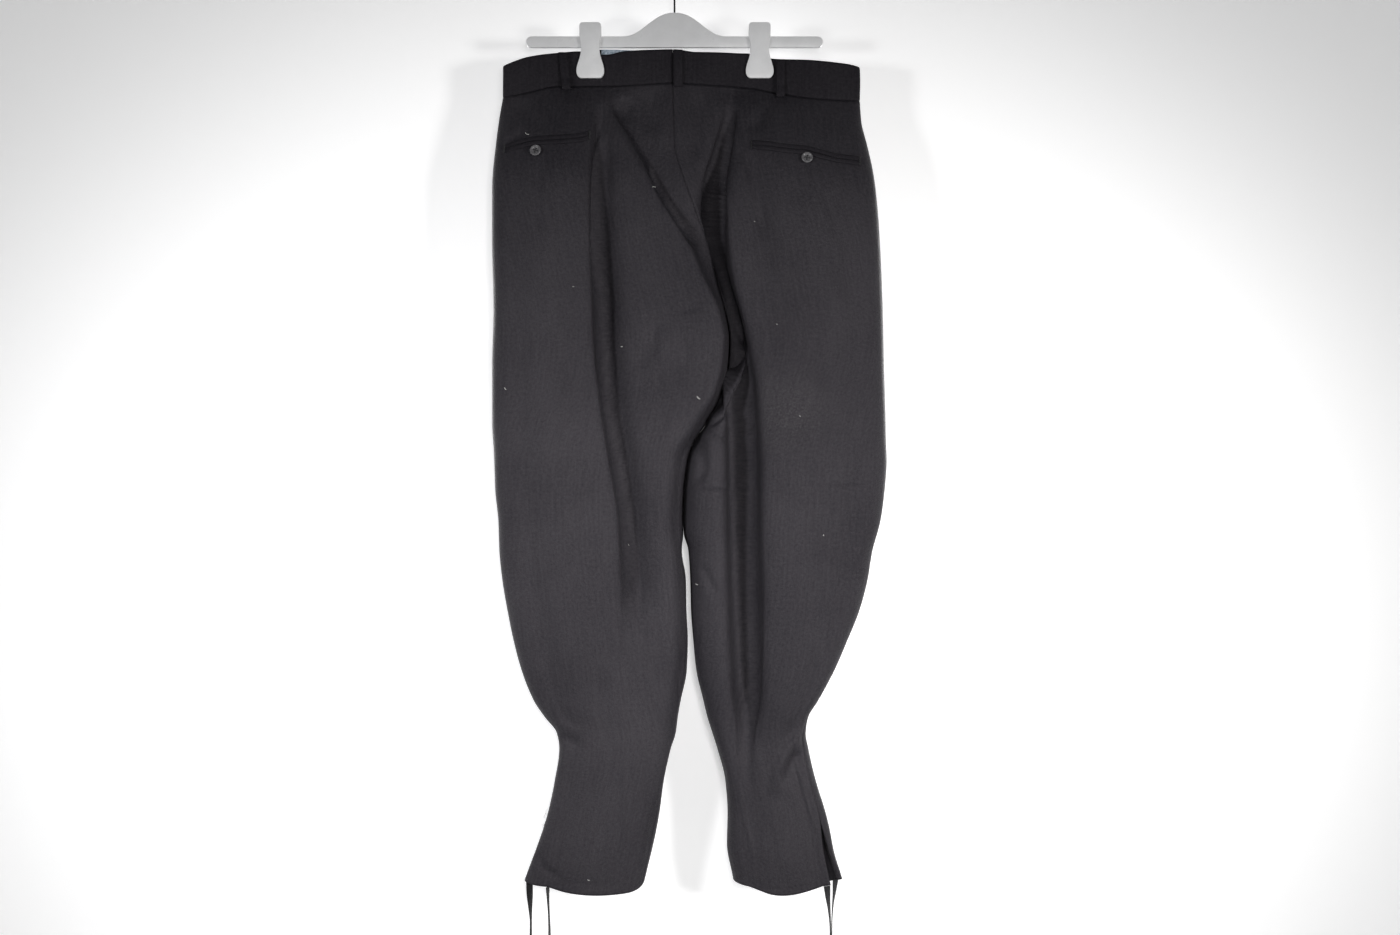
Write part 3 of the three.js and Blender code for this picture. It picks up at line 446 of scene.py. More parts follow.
def moulded(name, colour, roughness, grain, metallic=0.0):
    """Moulded plastic or plated wire: faint marks in the gloss and a very fine surface."""
    material, nodes, shader = new_material(name, roughness, 0.5, Metallic=metallic)
    coords = nodes.add("ShaderNodeTexCoord").outputs["Object"]
    marks = nodes.noise(coords, grain, 4.0, 0.6)
    nodes.feed(shader.inputs["Roughness"], nodes.spread(marks, 0.3, 0.7, roughness * 0.8, roughness * 1.25))
    darker = [part * 0.94 for part in colour]
    shade = nodes.blend(nodes.spread(marks, 0.35, 0.7), (*colour, 1), (*darker, 1))
    nodes.feed(shader.inputs["Base Color"], shade)
    bump(nodes, shader, nodes.noise(coords, grain * 6, 2.0), 0.08, 0.0002)
    return material


wool_twill = wool("wool_twill", (0.0150, 0.0140, 0.0175), (0.036, 0.0337, 0.0385))
# The band, jets and loops take a darker, duller copy of the same wool: painted shade that tones down the light their
# rolled edges catch.
shaded_band_twill = wool("shaded_band_twill", (0.0135, 0.0125, 0.0155), (0.027, 0.025, 0.029), specular=0.09, haze=False)
thread_black = plain_cloth("thread_black", (0.010, 0.010, 0.011), (0.03, 0.03, 0.032), 0.6)
tape_weave = plain_cloth("tape_weave", (0.010, 0.0098, 0.011), (0.026, 0.0255, 0.028))
pale_blue = plain_cloth("pale_blue_cotton", (0.20, 0.28, 0.36), (0.62, 0.70, 0.78))
lint_white = plain_cloth("lint_white", (0.55, 0.55, 0.52), (0.85, 0.85, 0.82))
white_plastic = moulded("white_plastic", (0.91, 0.915, 0.925), 0.33, 60.0)
button_horn = moulded("button_dark", (0.12, 0.116, 0.122), 0.28, 240.0)
hook_wire = moulded("hook_wire", (0.06, 0.06, 0.065), 0.3, 300.0, metallic=1.0)


# ---- finishing a piece
def link_mesh(name, bm, material):
    """An object made of a bmesh and one material."""
    mesh = bpy.data.meshes.new(name)
    bm.to_mesh(mesh)
    bm.free()
    piece = linked(name, mesh)
    mesh.materials.append(material)
    return piece


def declare(piece, slot, replaces):
    """States the piece's body, its material slot and the nodes it replaces."""
    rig.ride(piece, BODY)
    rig.slot(piece, slot)
    if replaces:
        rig.replaces(piece, *replaces)


def finish_piece(name, bm, material, slot, replaces=(), wall=0.0):
    """A smooth piece, thickened inward by its wall, with what it stands for declared."""
    piece = link_mesh(name, bm, material)
    for face in piece.data.polygons:
        face.use_smooth = True
    if wall:
        solidify = piece.modifiers.new("wall", "SOLIDIFY")
        solidify.thickness = wall
        solidify.offset = -1
        solidify.use_even_offset = False
    declare(piece, slot, replaces)
    return piece


# ---- smooth curves and section tables
def tangents_of(positions, values):
    """Slopes for a curve that never swings past its points. values may have many rows."""
    spans = np.diff(positions)
    slopes = np.diff(values, axis=-1) / spans
    before, after = slopes[..., :-1], slopes[..., 1:]
    product = before * after
    total = np.where(np.abs(before + after) < 1e-12, 1.0, before + after)
    middle = np.where(product > 0, 2 * product / total, 0.0)
    return np.concatenate([slopes[..., :1], middle, slopes[..., -1:]], axis=-1)


def curve_through(positions, values):
    """A smooth curve through values at positions, as a function of the place along it."""
    positions = np.asarray(positions, float)
    values = np.asarray(values, float)
    tangents = tangents_of(positions, values)

    def at(place):
        p = np.clip(place, positions[0], positions[-1])
        i = np.clip(np.searchsorted(positions, p, side="left") - 1, 0, len(positions) - 2)
        span = positions[i + 1] - positions[i]
        t = (p - positions[i]) / span
        ease = t * t * (3 - 2 * t)
        return (values[i] * (1 - ease) + values[i + 1] * ease
                + span * t * (1 - t) * (tangents[i] * (1 - t) - tangents[i + 1] * t))

    return at


def fade(value, start, end):
    """0 before start, 1 after end and a smooth step between them."""
    t = np.clip((np.asarray(value, float) - start) / (end - start), 0, 1)
    return t * t * (3 - 2 * t)


def table(columns, rows):
    """A curve for each named column, over the first column of the rows of text."""
    data = np.array([row.split() for row in rows.strip().splitlines()], float)
    return {name: curve_through(data[:, 0], data[:, i + 1]) for i, name in enumerate(columns.split())}


contour = table("left_outer left_inner right_inner right_outer", """
    165 -206 0 0 222.5
    192 -210 0 0 224
    232 -214 0 0 231
    287 -218 0 0 240.6
    347 -218 0 0 245.5
    431 -216 0 0 249
    500 -217.8 0 0 250.5
    568 -217.8 37 37 252.5
    582 -217.2 27.5 27.2 252.8
    597 -216 20.2 19.9 253.3
    611 -215.4 16.2 15.9 253.8
    647 -214.2 11.6 11.3 251.4
    683 -210.6 10.3 10 246.6
    699 -210 10.7 10.8 242.6
    719 -209.4 9 16.2 237
    755 -205.8 13.8 18.6 231
    791 -199.8 14.5 19.5 221.4
    827 -192.6 16.2 22.2 207
    863 -183 15 25.8 191.4
    899 -168.6 7.8 34.2 172.2
    919 -155.4 4.2 39 160.2
    938 -141 1.8 45 157
    957 -138 -4.2 51 160.5
    995 -143.4 -12.6 60.6 168.6
    1035 -152 -18 63.4 180
    1072 -163.8 -25 62.6 187.8
    1118 -180 -35.4 70 201
""")

centre_back = table("x depth", """
    165 -2 11
    232 0 23
    287 15 28
    347 38 18
    393 51 12
    431 61 8
    468 66 6
    500 64 4
    535 55 2
    568 37 0
""")

centre_front = table("x depth", """
    165 -2 10
    232 0 23
    287 3 31
    347 8 34
    431 18 31
    500 27 22
    535 32 12
    568 37 0
""")


def sides(names):
    """The x and depth columns of each named guide."""
    return " ".join(f"{name}_x {name}_d" for name in names.split())


back_left = table(sides("foot lip valley ridge plain side"), """
    165 -42 9 -82 2.6 -100 2.6 -120 2.6 -158 8 -194 8
    192 -66 10 -76 16 -92 14 -108 16 -155 18 -187 15
    232 -47 18 -56 28 -80 26 -94 31 -152 32 -182 26
    287 -14 24 -24 39 -82 31 -97 44 -152 45 -182 38
    347 20 28 11 46 -82 31 -98 51 -152 51 -182 43
    393 39 31 30 49 -80 33 -98 54 -152 54 -181 46
    431 56 31 48 50 -79 34 -98 55 -152 55 -181 47
    468 62.5 30 56 49 -77 36 -98 55 -152 55 -182 47
    500 60 29 53 48 -74 37 -95 55 -152 55 -182 47
    535 51 27 43 46 -69 39 -89 54 -151 54 -181 46
    568 33 26 20 44 -64 41 -85 54 -150 53 -180 45
    611 9.5 27 -8 43 -59 41 -78 53 -147 52 -178 44
    683 3 26 -14 41 -50 41 -67 51 -140 50 -172 42
    755 8.5 24 -8 38 -48 39 -68 47 -134 46 -166 38
    827 11 20 -5 33 -50 35 -75 40 -122 40 -154 33
    899 3.5 17 -10 28 -48 30 -76 33 -112 31 -138 26
    938 -2 15 -15 25 -45 29 -72 29 -98 27 -119 22
    1035 -22 14 -34 23 -60 26 -86 26 -109 25 -131 20
    1118 -39.5 13 -51 21 -78 25 -104 26 -129 24 -151 18
""")

back_right = table(sides("wall floor brow trough crest plain side"), """
    165 38 10 62 7 83 2.6 102 2.6 121 2.6 166 8 208 8
    192 58 14 66 11 76 16 92 15 114 17 165 19 203 16
    232 50 19 58 11 69 27 88 24 115 31 165 32 202 27
    287 36 24 46 10 60 36 98 36 127 44 167 45 205 38
    347 42 13 48 9 65 41 104 43 136 51 174 51 208 44
    393 53.5 9 57 8 69 43 106 48 139 54 176 54 210 46
    431 63 8 66 9 76 44 108 50 141 55 178 55 211 47
    468 68 12 72 16 86 42 110 50 143 56 180 55 213 47
    500 68 28 77 25 93 44 113 51 146 56 182 55 214 47
    535 64 38 81 24 98 45 118 51 148 56 184 54 215 47
    568 58 42 84 25 101 46 121 51 149 55 186 53 216 46
    611 54 44 84 25 103 46 122 51 150 54 187 52 216 45
    683 54 42 84 25 104 44 123 48 148 51 181 49 209 41
    755 56 38 86 24 106 41 124 45 146 47 172 45 196 37
    827 60 33 86 23 104 36 121 39 140 41 160 39 180 32
    899 65 28 86 21 99 30 112 33 126 34 140 32 153 27
    938 67 25 84 20 94 27 105 29 117 30 129 28 140 23
    1035 79 22 94 23 104 25 115 26 127 26 141 25 157 20
    1118 89 20 104 23 115 25 128 26 142 26 158 24 177 18
""")

front_left = table(sides("inner pinch crease plain side"), """
    165 -46 8 -82 2.6 -120 2.6 -158 8 -194 8
    192 -44 15 -80 13 -113 15 -155 17 -187 14
    232 -42 27 -76 24 -108 29 -152 29 -182 24
    287 -38 37 -72 33 -104 40 -152 40 -182 34
    347 -34 43 -68 39 -102 47 -152 46 -182 39
    431 -26 46 -64 43 -100 52 -152 50 -181 43
    500 -20 46 -60 45 -96 53 -152 51 -182 44
    568 -8 44 -56 46 -92 52 -150 50 -180 43
    611 -10 43 -54 46 -88 52 -147 49 -178 42
    683 -16 41 -52 45 -82 49 -140 47 -172 40
    755 -12 38 -48 43 -78 46 -134 43 -166 36
    827 -8 33 -46 38 -76 40 -122 38 -154 31
    899 -12 27 -46 32 -74 33 -110 30 -138 25
    938 -17 25 -44 29 -70 30 -96 27 -119 22
    1035 -36 23 -60 26 -85 27 -109 25 -131 20
    1118 -53 21 -78 25 -103 26 -129 24 -151 18
""")

front_right = table(sides("inner pinch crease plain side"), """
    165 44 8 83 2.6 121 2.6 166 8 208 8
    192 46 15 82 13 116 15 165 18 203 15
    232 48 27 84 24 116 29 166 30 202 25
    287 52 37 86 34 120 41 168 41 205 35
    347 58 43 90 40 128 48 174 47 208 40
    431 68 46 96 44 136 53 178 51 211 44
    500 72 45 102 46 142 54 182 52 214 45
    568 66 44 104 46 146 53 186 51 216 44
    611 46 43 100 46 146 52 187 50 216 43
    683 42 40 96 45 144 49 181 47 209 40
    755 46 37 96 42 142 46 172 43 196 36
    827 50 32 94 37 136 40 160 38 180 32
    899 56 27 88 31 122 34 140 32 153 27
    938 62 24 84 28 114 30 129 28 140 23
    1035 80 22 102 26 124 27 141 25 157 20
    1118 88 20 112 25 138 26 158 24 177 18
""")

# How far each side seam lies round to the back, in quarter turns, and how far its slit is open.
side_seam = table("left_turn right_turn left_slit right_slit", """
    165 0 0 0 0
    863 0 0 0 0
    919 0 0.35 0 0
    957 0 0.62 0 0
    1035 0 0.62 0 0
    1072 0 0.6 0.05 0.16
    1118 0 0.5 0.1 0.34
""")

waistline = table("seam back_top front_top", """
    -206 178 139.8 140.5
    -175 172 129 130
    -140 164.4 123.9 124.6
    -116 163.8 121.4 122
    -86 163.4 126 118.6
    -57 163.3 121.8 118.8
    0 161 120.6 122
    26 162.5 123.7 124.4
    88 165.5 123.9 124.6
    116 170.5 130 130.6
    166 179 133 133.8
    206 181.6 137.4 138
    222.6 182 141 141.5
""")


# ---- soft creases
class Crease:
    """A soft trough (rise < 0) or ridge along a line of (x, drop) points.

    The two sides may differ in width, and a width may be a pair, from the line's start to its end. A higher
    power gives a flatter floor, and "soft" is the share of the line over which each end fades.
    """

    def __init__(self, rise, width, line, other_width=None, power=2, soft=0.3):
        self.rise = rise
        self.widths = (width, other_width or width)
        self.line = np.array(line, float)
        self.power = power
        self.soft = soft

    def width(self, side, along):
        """The width on one side at shares of the line's length."""
        start, end = np.broadcast_to(self.widths[side], 2)
        return start + (end - start) * along

    def at(self, x, drop):
        """How far the crease lifts the cloth at points (x, drop), in millimetres."""
        best = np.full(x.shape, 1e9)
        signed = np.zeros(x.shape)
        along = np.zeros(x.shape)
        lengths = np.hypot(*np.diff(self.line, axis=0).T)
        starts = np.concatenate([[0], np.cumsum(lengths)])
        for i, length in enumerate(lengths):
            (ax, ay), (bx, by) = self.line[i], self.line[i + 1]
            ux, uy = (bx - ax) / length, (by - ay) / length
            t = np.clip((x - ax) * ux + (drop - ay) * uy, 0, length)
            dx, dy = x - ax - t * ux, drop - ay - t * uy
            gap = np.hypot(dx, dy)
            near = gap < best
            best = np.where(near, gap, best)
            signed = np.where(near, ux * dy - uy * dx, signed)
            along = np.where(near, (starts[i] + t) / starts[-1], along)
        width = np.where(signed > 0, self.width(0, along), self.width(1, along))
        ends = fade(np.minimum(along, 1 - along), 0, self.soft)
        return self.rise * ends * np.exp(-(best / width) ** self.power)


def creases_in(rows):
    """Creases from rows of text: the rise, the width (or two, one a side) and the line's x,drop points."""
    made = []
    for row in rows.strip().splitlines():
        rise, widths, *points = row.split()
        line = [[float(part) for part in point.split(",")] for point in points]
        width, *other = [float(part) for part in widths.split("/")]
        made.append(Crease(float(rise), width, line, *other))
    return made


creases = {
    "back_left": [
        Crease(-19.0, (6, 14), [(-88, 176), (-90, 240), (-90, 300), (-86, 370), (-81, 420), (-78, 479),
                                (-71, 551), (-59, 619), (-49, 683), (-42, 760), (-38, 830)],
               (11, 18), 1.5, 0.13),
        Crease(-1.2, 14, [(-84, 172), (-70, 190), (-54, 206)], soft=0.5),
        Crease(-8.0, (2.4, 4.5), [(-34, 258), (-10, 305), (12, 336), (30, 366)], (3.5, 8)),
    ] + creases_in("""
    0.8 9 -66,206 -48,238 -26,280
    -2.4 10 -14,436 -28,469 -46,512
    1.0 10 0,440 -10,478 -28,515
    -1.8 6 3,438 16,433 34,430
    -1.8 6 13,462 14,484 12,512
    1.2 10 31,517 7,529 -4,562 -21,589
    -1.6 8 52,480 44,505 30,530 28,552
    -1.4 9 -5,545 -16,575 -34,604
    -1.8 10 -51,178 -56,192 -60,210
    -1.6 9 -31,170 -28,195 -22,225
    1.2 12 -14,172 -10,205 0,245
    -2.4 7 -162,254 -160,290 -158,352
    -1.8 6 -212,244 -192,230 -172,218
    -1.4 9 -190,178 -172,205 -150,222
    -1.6 11 -128,262 -131,330 -136,420
    -1.2 14 -124,500 -118,590 -108,690
    -3.0 12 -84,850 -83,896 -81,964
    -0.7 3 -176,606 -158,607 -140,606
    -2.2 8 -137,938 -122,948 -106,956
    1.8 7 -142,922 -126,930 -110,938
    1.1 2.6 -60.6,892 -60,960 -59,1040 -58,1124
    -1.0 9 -30,700 -22,760 -20,830
    -1.3 12 -70,760 -40,800 -12,850
    -0.9 2.2 -156,168 -156,200 -156,224
    -2.4 4 -162,1072 -161,1088 -154,1100 -134,1108
    -0.6 2.0 -176,1102 -130,1114 -80,1118 -36,1107
    """),
    "back_right": [
        Crease(-21.0, (9, 15), [(69, 170), (67, 200), (58, 255), (46, 298), (42, 343), (44, 386),
                                (51, 416), (60, 446), (68, 478), (76, 522), (80, 612), (80, 690),
                                (82, 780), (86, 880), (92, 985)], (11, 16), 1.5, 0.15),
    ] + creases_in("""
    -1.4 13 76,150 71,190 66,232
    3.0 5 56,465 50,524 40,569
    -4.0 7 64,480 59,530 50,578
    -2.4 6 29,165 28,203 26,262
    -2.4 8 117,180 103,203 90,224
    -2.8 7 84,238 95,278 101,318 105,360
    -1.5 13 134,262 142,330 146,410
    -1.4 14 176,276 190,350 196,440
    -2.8 3.0 40,573 51,564 66,551
    -2.4 3.0 41,575 52,581 68,588
    1.8 8 48,548 56,562 72,572
    -3.4 7 24,572 32,600 34,622 24,646
    -2.0 5 30,731 42,756 55,780
    1.2 3.4 20,641 60,642 84,641
    -1.3 3.4 20,649 60,650 99,649
    -1.1 3 172,646 200,645 230,642
    1.1 2.6 72.6,890 72.6,962 79,1007 84,1040 93,1072 97,1124
    5.0 5/16 157,926 147,936 136,952 127,969 121,986 114,1016
    -5.0 8 154,950 144,962 136,978 130,1004
    1.6 1.9 138,953 149,985 161,1030 173,1066
    -1.8 12 176,700 168,760 156,830
    -0.9 2.2 148,176 148,205 148,232
    1.4 10 118,1000 124,1050 130,1110
    -0.6 2.0 72,1104 110,1122 150,1120 184,1106
    """),
    "front_left": creases_in("""
    -2.6 8 -8,470 -30,500 -60,522
    -2.2 7 10,500 -14,534 -40,560
    1.8 9 6,482 -20,514 -48,540
    -2.4 12 -118,190 -126,260 -132,350 -128,470
    -2.0 11 -76,200 -70,270 -66,350
    0.9 3 -100,420 -92,600 -80,760 -72,940 -92,1118
    -1.6 13 -160,440 -158,560 -150,680
    -2.2 8 -134,938 -112,952 -92,960
    1.8 8 -138,918 -118,930 -100,940
    -1.8 9 0,900 -22,918 -50,930
    -0.6 2.0 -176,1102 -130,1114 -80,1118 -36,1107
    """),
    "front_right": creases_in("""
    -2.6 8 60,470 84,498 112,520
    -2.0 7 48,520 72,548 98,566
    1.8 9 54,492 78,522 104,544
    -2.4 12 118,190 128,262 138,350 140,460
    -2.1 11 78,200 74,270 72,340
    0.9 3 138,420 146,600 142,760 116,940 134,1118
    -1.6 14 196,440 204,560 196,690
    2.6 9 156,922 140,938 124,962
    -2.2 9 152,944 134,962 120,988
    -1.8 9 42,900 66,922 92,936
    2.2 5/9 152,968 160,1000 173,1033 184,1061 195,1092
    -0.6 2.0 72,1104 110,1122 150,1120 196,1106
    """),
}


# ---- cloth panels
SOFTENING = 8
SOFT_INSIDE = (12, 45)
FOLDS_START = 9.0
WAIST_HOLD = 8
SEAM_ROLL = 0.55
SEAM_ROLL_WIDTH = 1.6


def softened(values):
    """Values smoothed along each row, with the ends held."""
    for _ in range(SOFTENING):
        middle = (values[:, :-2] + 2 * values[:, 1:-1] + values[:, 2:]) / 4
        values = np.concatenate([values[:, :1], middle, values[:, -1:]], axis=1)
    return values


class Panel:
    """A cloth surface over guide lines from the centre out, and levels from the waist seam to the hem."""

    def __init__(self, name, sections, centre):
        self.name = name
        self.leg = -1 if name.endswith("left") else 1
        self.face = -1 if name.startswith("back") else 1
        side = "left" if self.leg < 0 else "right"
        self.outer = contour[f"{side}_outer"]
        self.inner = contour[f"{side}_inner"]
        self.turn = side_seam[f"{side}_turn"]
        self.slit = side_seam[f"{side}_slit"]
        self.centre = centre
        names = list(sections)
        self.x_curves = [sections[key] for key in names if key.endswith("_x")]
        self.d_curves = [sections[key] for key in names if key.endswith("_d")]
        self.last = len(self.x_curves) + 1

    def guides(self, level):
        """The guides' x and depth at a level, from the centre seam or inner leg to the side."""
        if level < CROTCH_LEVEL:
            seam = (float(self.centre["x"](level)), float(self.centre["depth"](level)))
        else:
            seam = (float(self.inner(level)), 0.0)
        xs = [seam[0], *(float(curve(level)) for curve in self.x_curves), float(self.outer(level))]
        depths = [seam[1], *(float(curve(level)) for curve in self.d_curves), 0.0]
        return np.array(xs), np.array(depths)

    def row(self, at, level):
        """Points across the panel at guide positions "at", as an array of (x, y, z) in millimetres."""
        xs, depths = self.guides(level)
        order = np.arange(self.last + 1)
        x = curve_through(order, xs)(at)
        depth = curve_through(order, depths)(at)
        angle = (at - self.last + 1) * math.pi / 2
        edge = at > self.last - 1
        reach = np.abs(np.sin(angle)) ** EDGE_ROLL
        x = np.where(edge, xs[-2] + (xs[-1] - xs[-2]) * reach, x)
        left = np.cos(angle)
        depth = np.where(edge, depths[-2] * np.sign(left) * np.abs(left) ** EDGE_ROLL, depth)
        roll = float(fade(level, CROTCH_LEVEL - 70, CROTCH_LEVEL))
        angle = at * math.pi / 2
        start = at < 1
        x = np.where(start, x * (1 - roll) + (xs[0] + (xs[1] - xs[0]) * (1 - np.cos(angle))) * roll, x)
        depth = np.where(
            start, depth * (1 - roll) + (depths[0] + (depths[1] - depths[0]) * np.sin(angle)) * roll, depth)
        waist = 1 - float(fade(level, WAIST_LEVEL, WAIST_FADE))
        hem = float(fade(level, HEM_FADE, HEM_LEVEL))
        sag = (HEM_SAG * np.sin(math.pi * np.clip(at / self.last, 0, 1)) - HEM_RISE) * hem
        drop = level + (waistline["seam"](x) - WAIST_LEVEL) * waist + sag + SEAM_GAP / 2 * waist
        return np.stack([x + self.leg * SEAM_GAP / 2, self.face * depth, -drop], axis=-1)

    def ends(self, level):
        """Guide positions of the inner and outer edges, short of the seams by half a gap."""
        start = 0.0 if level < CROTCH_LEVEL else self.beside_seam(0.0, level, 1)
        seam = self.last + self.face * float(self.turn(level))
        return start, self.beside_seam(seam, level, -1) - float(self.slit(level))

    def beside_seam(self, seam, level, side):
        """The guide position at half a seam gap to one side of a seam."""
        shifts = np.concatenate([[0], np.geomspace(1e-6, 0.2, 60)])
        points = self.row(seam + side * shifts, level)
        apart = np.linalg.norm(points - points[0], axis=1)
        return seam + side * float(np.interp(SEAM_GAP / 2, apart, shifts))

    def grid(self, columns, rows):
        """Points with their folds, the outward directions and the cloth's own map, all as arrays."""
        levels = WAIST_LEVEL + (HEM_LEVEL - WAIST_LEVEL) * np.linspace(0, 1, rows)
        places = []
        for level in levels:
            start, end = self.ends(level)
            even = np.linspace(0, self.last, 40 * self.last)
            path = self.row(even, level)
            length = np.concatenate([[0], np.cumsum(np.linalg.norm(np.diff(path, axis=0), axis=1))])
            low, high = np.interp([start, min(end, self.last)], even, length)
            wanted = np.linspace(low, high, columns)
            at = np.interp(wanted, length, even)
            if end > self.last:
                share = 1 - 0.5 * (end - self.last) / self.last
                split = int(columns * share) - 2
                first = np.interp(np.linspace(low, length[-1], split), length, even)
                at = np.concatenate([first, np.linspace(self.last, end, columns - split + 1)[1:]])
            at[0] = start
            at[-1] = end
            places.append(self.row(at, level))
        points = np.array(places)
        normals = self.normals_of(points)
        drop = -points[..., 2]
        fold = sum(crease.at(points[..., 0], drop) for crease in creases[self.name])
        step = np.linalg.norm(np.diff(points, axis=1), axis=2)
        across = np.concatenate([np.zeros((rows, 1)), np.cumsum(step, axis=1)], axis=1)
        from_edge = np.minimum(across, across[:, -1:] - across)
        fold = fold * fade(from_edge, 0.5, FOLDS_START)
        inside = fade(from_edge, *SOFT_INSIDE)
        points[..., 1] += (softened(points[..., 1]) - points[..., 1]) * inside
        fold = fold * (1 - fade(WAIST_LEVEL + WAIST_HOLD - levels, 0, WAIST_HOLD))[:, None]
        rolled = -SEAM_ROLL * np.exp(-(from_edge / SEAM_ROLL_WIDTH) ** 2)
        points = points + normals * (fold + rolled)[..., None]
        cloth_map = np.stack([across - across[:, columns // 2][:, None], drop], axis=-1)
        return self.turned_in(points, self.normals_of(points), cloth_map)

    def turned_in(self, points, normals, cloth_map):
        """The seam allowances: one more column inside each side edge."""
        edges = []
        for edge, inside, sign in ((0, 1, -1), (-1, -2, 1)):
            towards = points[:, inside] - points[:, edge]
            towards /= np.linalg.norm(towards, axis=1, keepdims=True)
            turned = points[:, edge] - normals[:, edge] * ALLOWANCE + towards * 0.6
            moved = cloth_map[:, edge] + np.array([sign * ALLOWANCE, 0.0])
            edges.append((turned[:, None], normals[:, edge][:, None], moved[:, None]))
        return tuple(np.concatenate([edges[0][i], middle, edges[1][i]], axis=1)
                     for i, middle in enumerate((points, normals, cloth_map)))

    def normals_of(self, points):
        """Outward directions at the points, level along the waist."""
        across = np.gradient(points, axis=1)
        down = np.gradient(points, axis=0)
        normals = np.cross(across, down) * (self.leg * self.face)
        normals /= np.maximum(np.linalg.norm(normals, axis=2, keepdims=True), 1e-9)
        normals[0, :, 2] = 0
        normals[0] /= np.linalg.norm(normals[0], axis=1, keepdims=True)
        return normals


def cloth_mesh(points, cloth_map, outward):
    """A bmesh grid laid on rows of points, with the cloth's map in metres, facing outward."""
    rows, columns = points.shape[:2]
    bm = bmesh.new()
    layer = bm.loops.layers.uv.new("UVMap")
    bmesh.ops.create_grid(bm, x_segments=columns - 1, y_segments=rows - 1, size=1.0, calc_uvs=True)
    places = {}
    for vert in bm.verts:
        column = round((vert.co.x + 1) / 2 * (columns - 1))
        row = round((1 - vert.co.y) / 2 * (rows - 1))
        places[vert] = (row, column)
    for vert, (row, column) in places.items():
        vert.co = Vector(points[row, column]) * MM
    for face in bm.faces:
        for loop in face.loops:
            loop[layer].uv = Vector(cloth_map[places[loop.vert]]) * MM
    bm.normal_update()
    bm.faces.ensure_lookup_table()
    middle = bm.faces[len(bm.faces) // 2]
    if middle.normal.dot(Vector(outward)) < 0:
        bmesh.ops.reverse_faces(bm, faces=bm.faces[:])
    return bm


class Laid:
    """Finds points on finished cloth, for what is sewn or lies on it."""

    def __init__(self, bm, face):
        self.tree = BVHTree.FromBMesh(bm)
        self.face = face

    def at(self, x, drop, lift=0.0):
        """The point in millimetres on the cloth in line with (x, drop), and the outward direction there."""
        start = Vector((x, self.face * 400, -drop)) * MM
        place, normal, _, _ = self.tree.ray_cast(start, Vector((0, -self.face, 0)))
        if place is None:
            raise ValueError(f"no cloth at {x}, {drop}")
        if normal.y * self.face < 0:
            normal = -normal
        return place / MM + normal * lift, normal


# Each panel's sections and centre seam, then its columns and rows of points.
PANEL_TABLES = {
    "back_left": (back_left, centre_back, 116, 330),
    "back_right": (back_right, centre_back, 116, 330),
    "front_left": (front_left, centre_front, 84, 240),
    "front_right": (front_right, centre_front, 84, 240),
}
# Finished cloth by name, for what is sewn on it, and the flat sizes in metres.
cloth = {}
bands = {}
sheets = {}

BAND_ROWS = 26
BAND_HEIGHT = 42
CLIP_GRIP = 20


def steps_of(points):
    """Distances between neighbours, along the rows and down the columns."""
    return tuple(np.linalg.norm(np.diff(points, axis=axis), axis=2) for axis in (1, 0))


def declare_sheet(name, piece, points, held):
    """States the flat cut: the widest row, the longest column and the surface's own area."""
    across, down = steps_of(points)
    area = float(((across[:-1] + across[1:]) / 2 * (down[:, :-1] + down[:, 1:]) / 2).sum()) * MM * MM
    width = across.sum(axis=1).max() * MM
    length = down.sum(axis=0).max() * MM
    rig.sheet(piece, flat=(width, length), held=held, area=min(area, width * length))
    sheets[name] = [width, length, area]


def band_top(face, x):
    """The drop of the band's top edge, back or front."""
    return waistline["back_top" if face < 0 else "front_top"](x)


def make_band(name, panel, top_row, top_normals):
    """The waistband above a panel: the panel's top edge carried up to the band's own top edge."""
    x, y, _ = top_row.T
    part = np.linspace(0, 1, BAND_ROWS)[:, None]
    drop = band_top(panel.face, x) * (1 - part) + (waistline["seam"](x) - SEAM_GAP / 2) * part
    x, y, _ = np.broadcast_arrays(x, y, drop)
    ripple = 0.35 * np.sin(x / 17 + 1.3 * panel.leg) + 0.25 * np.sin(x / 7.3 + drop / 16)
    pinch = sum(np.exp(-((x - clip) / CLIP_GRIP) ** 2) for clip in CLIP_X.values())
    rolled = np.exp(-(part * BAND_HEIGHT / 1.4) ** 2) + np.exp(-((1 - part) * BAND_HEIGHT / 1.6) ** 2)
    lift = ripple * np.sin(math.pi * part) * (1 - np.clip(pinch, 0, 1)) - 0.5 * rolled
    points = np.stack([x, y, -drop], axis=-1) + top_normals[None] * lift[..., None]
    bm = cloth_mesh(points, np.stack([x * panel.leg, drop], axis=-1), (0, panel.face, 0))
    bands[name] = Laid(bm, panel.face)
    node = f"waistband_{name}"
    piece = finish_piece(f"cloth_band_{name}", bm, shaded_band_twill, "wool_twill", [node], WALL * MM)
    declare_sheet(node, piece, points, "hung")


def make_panel(name):
    """A leg panel with the waistband above it."""
    sections, centre, columns, rows = PANEL_TABLES[name]
    panel = Panel(name, sections, centre)
    points, normals, cloth_map = panel.grid(columns, rows)
    bm = cloth_mesh(points, cloth_map, (0, panel.face, 0))
    cloth[name] = Laid(bm, panel.face)
    cloth[name].hem = (points[-1][1:-1], normals[-1][1:-1])
    piece = finish_piece(f"cloth_{name}", bm, wool_twill, "wool_twill", [name], WALL * MM)
    declare_sheet(name, piece, points, "hung")
    make_band(name, panel, points[0], normals[0])


for panel_name in PANEL_TABLES:
    make_panel(panel_name)


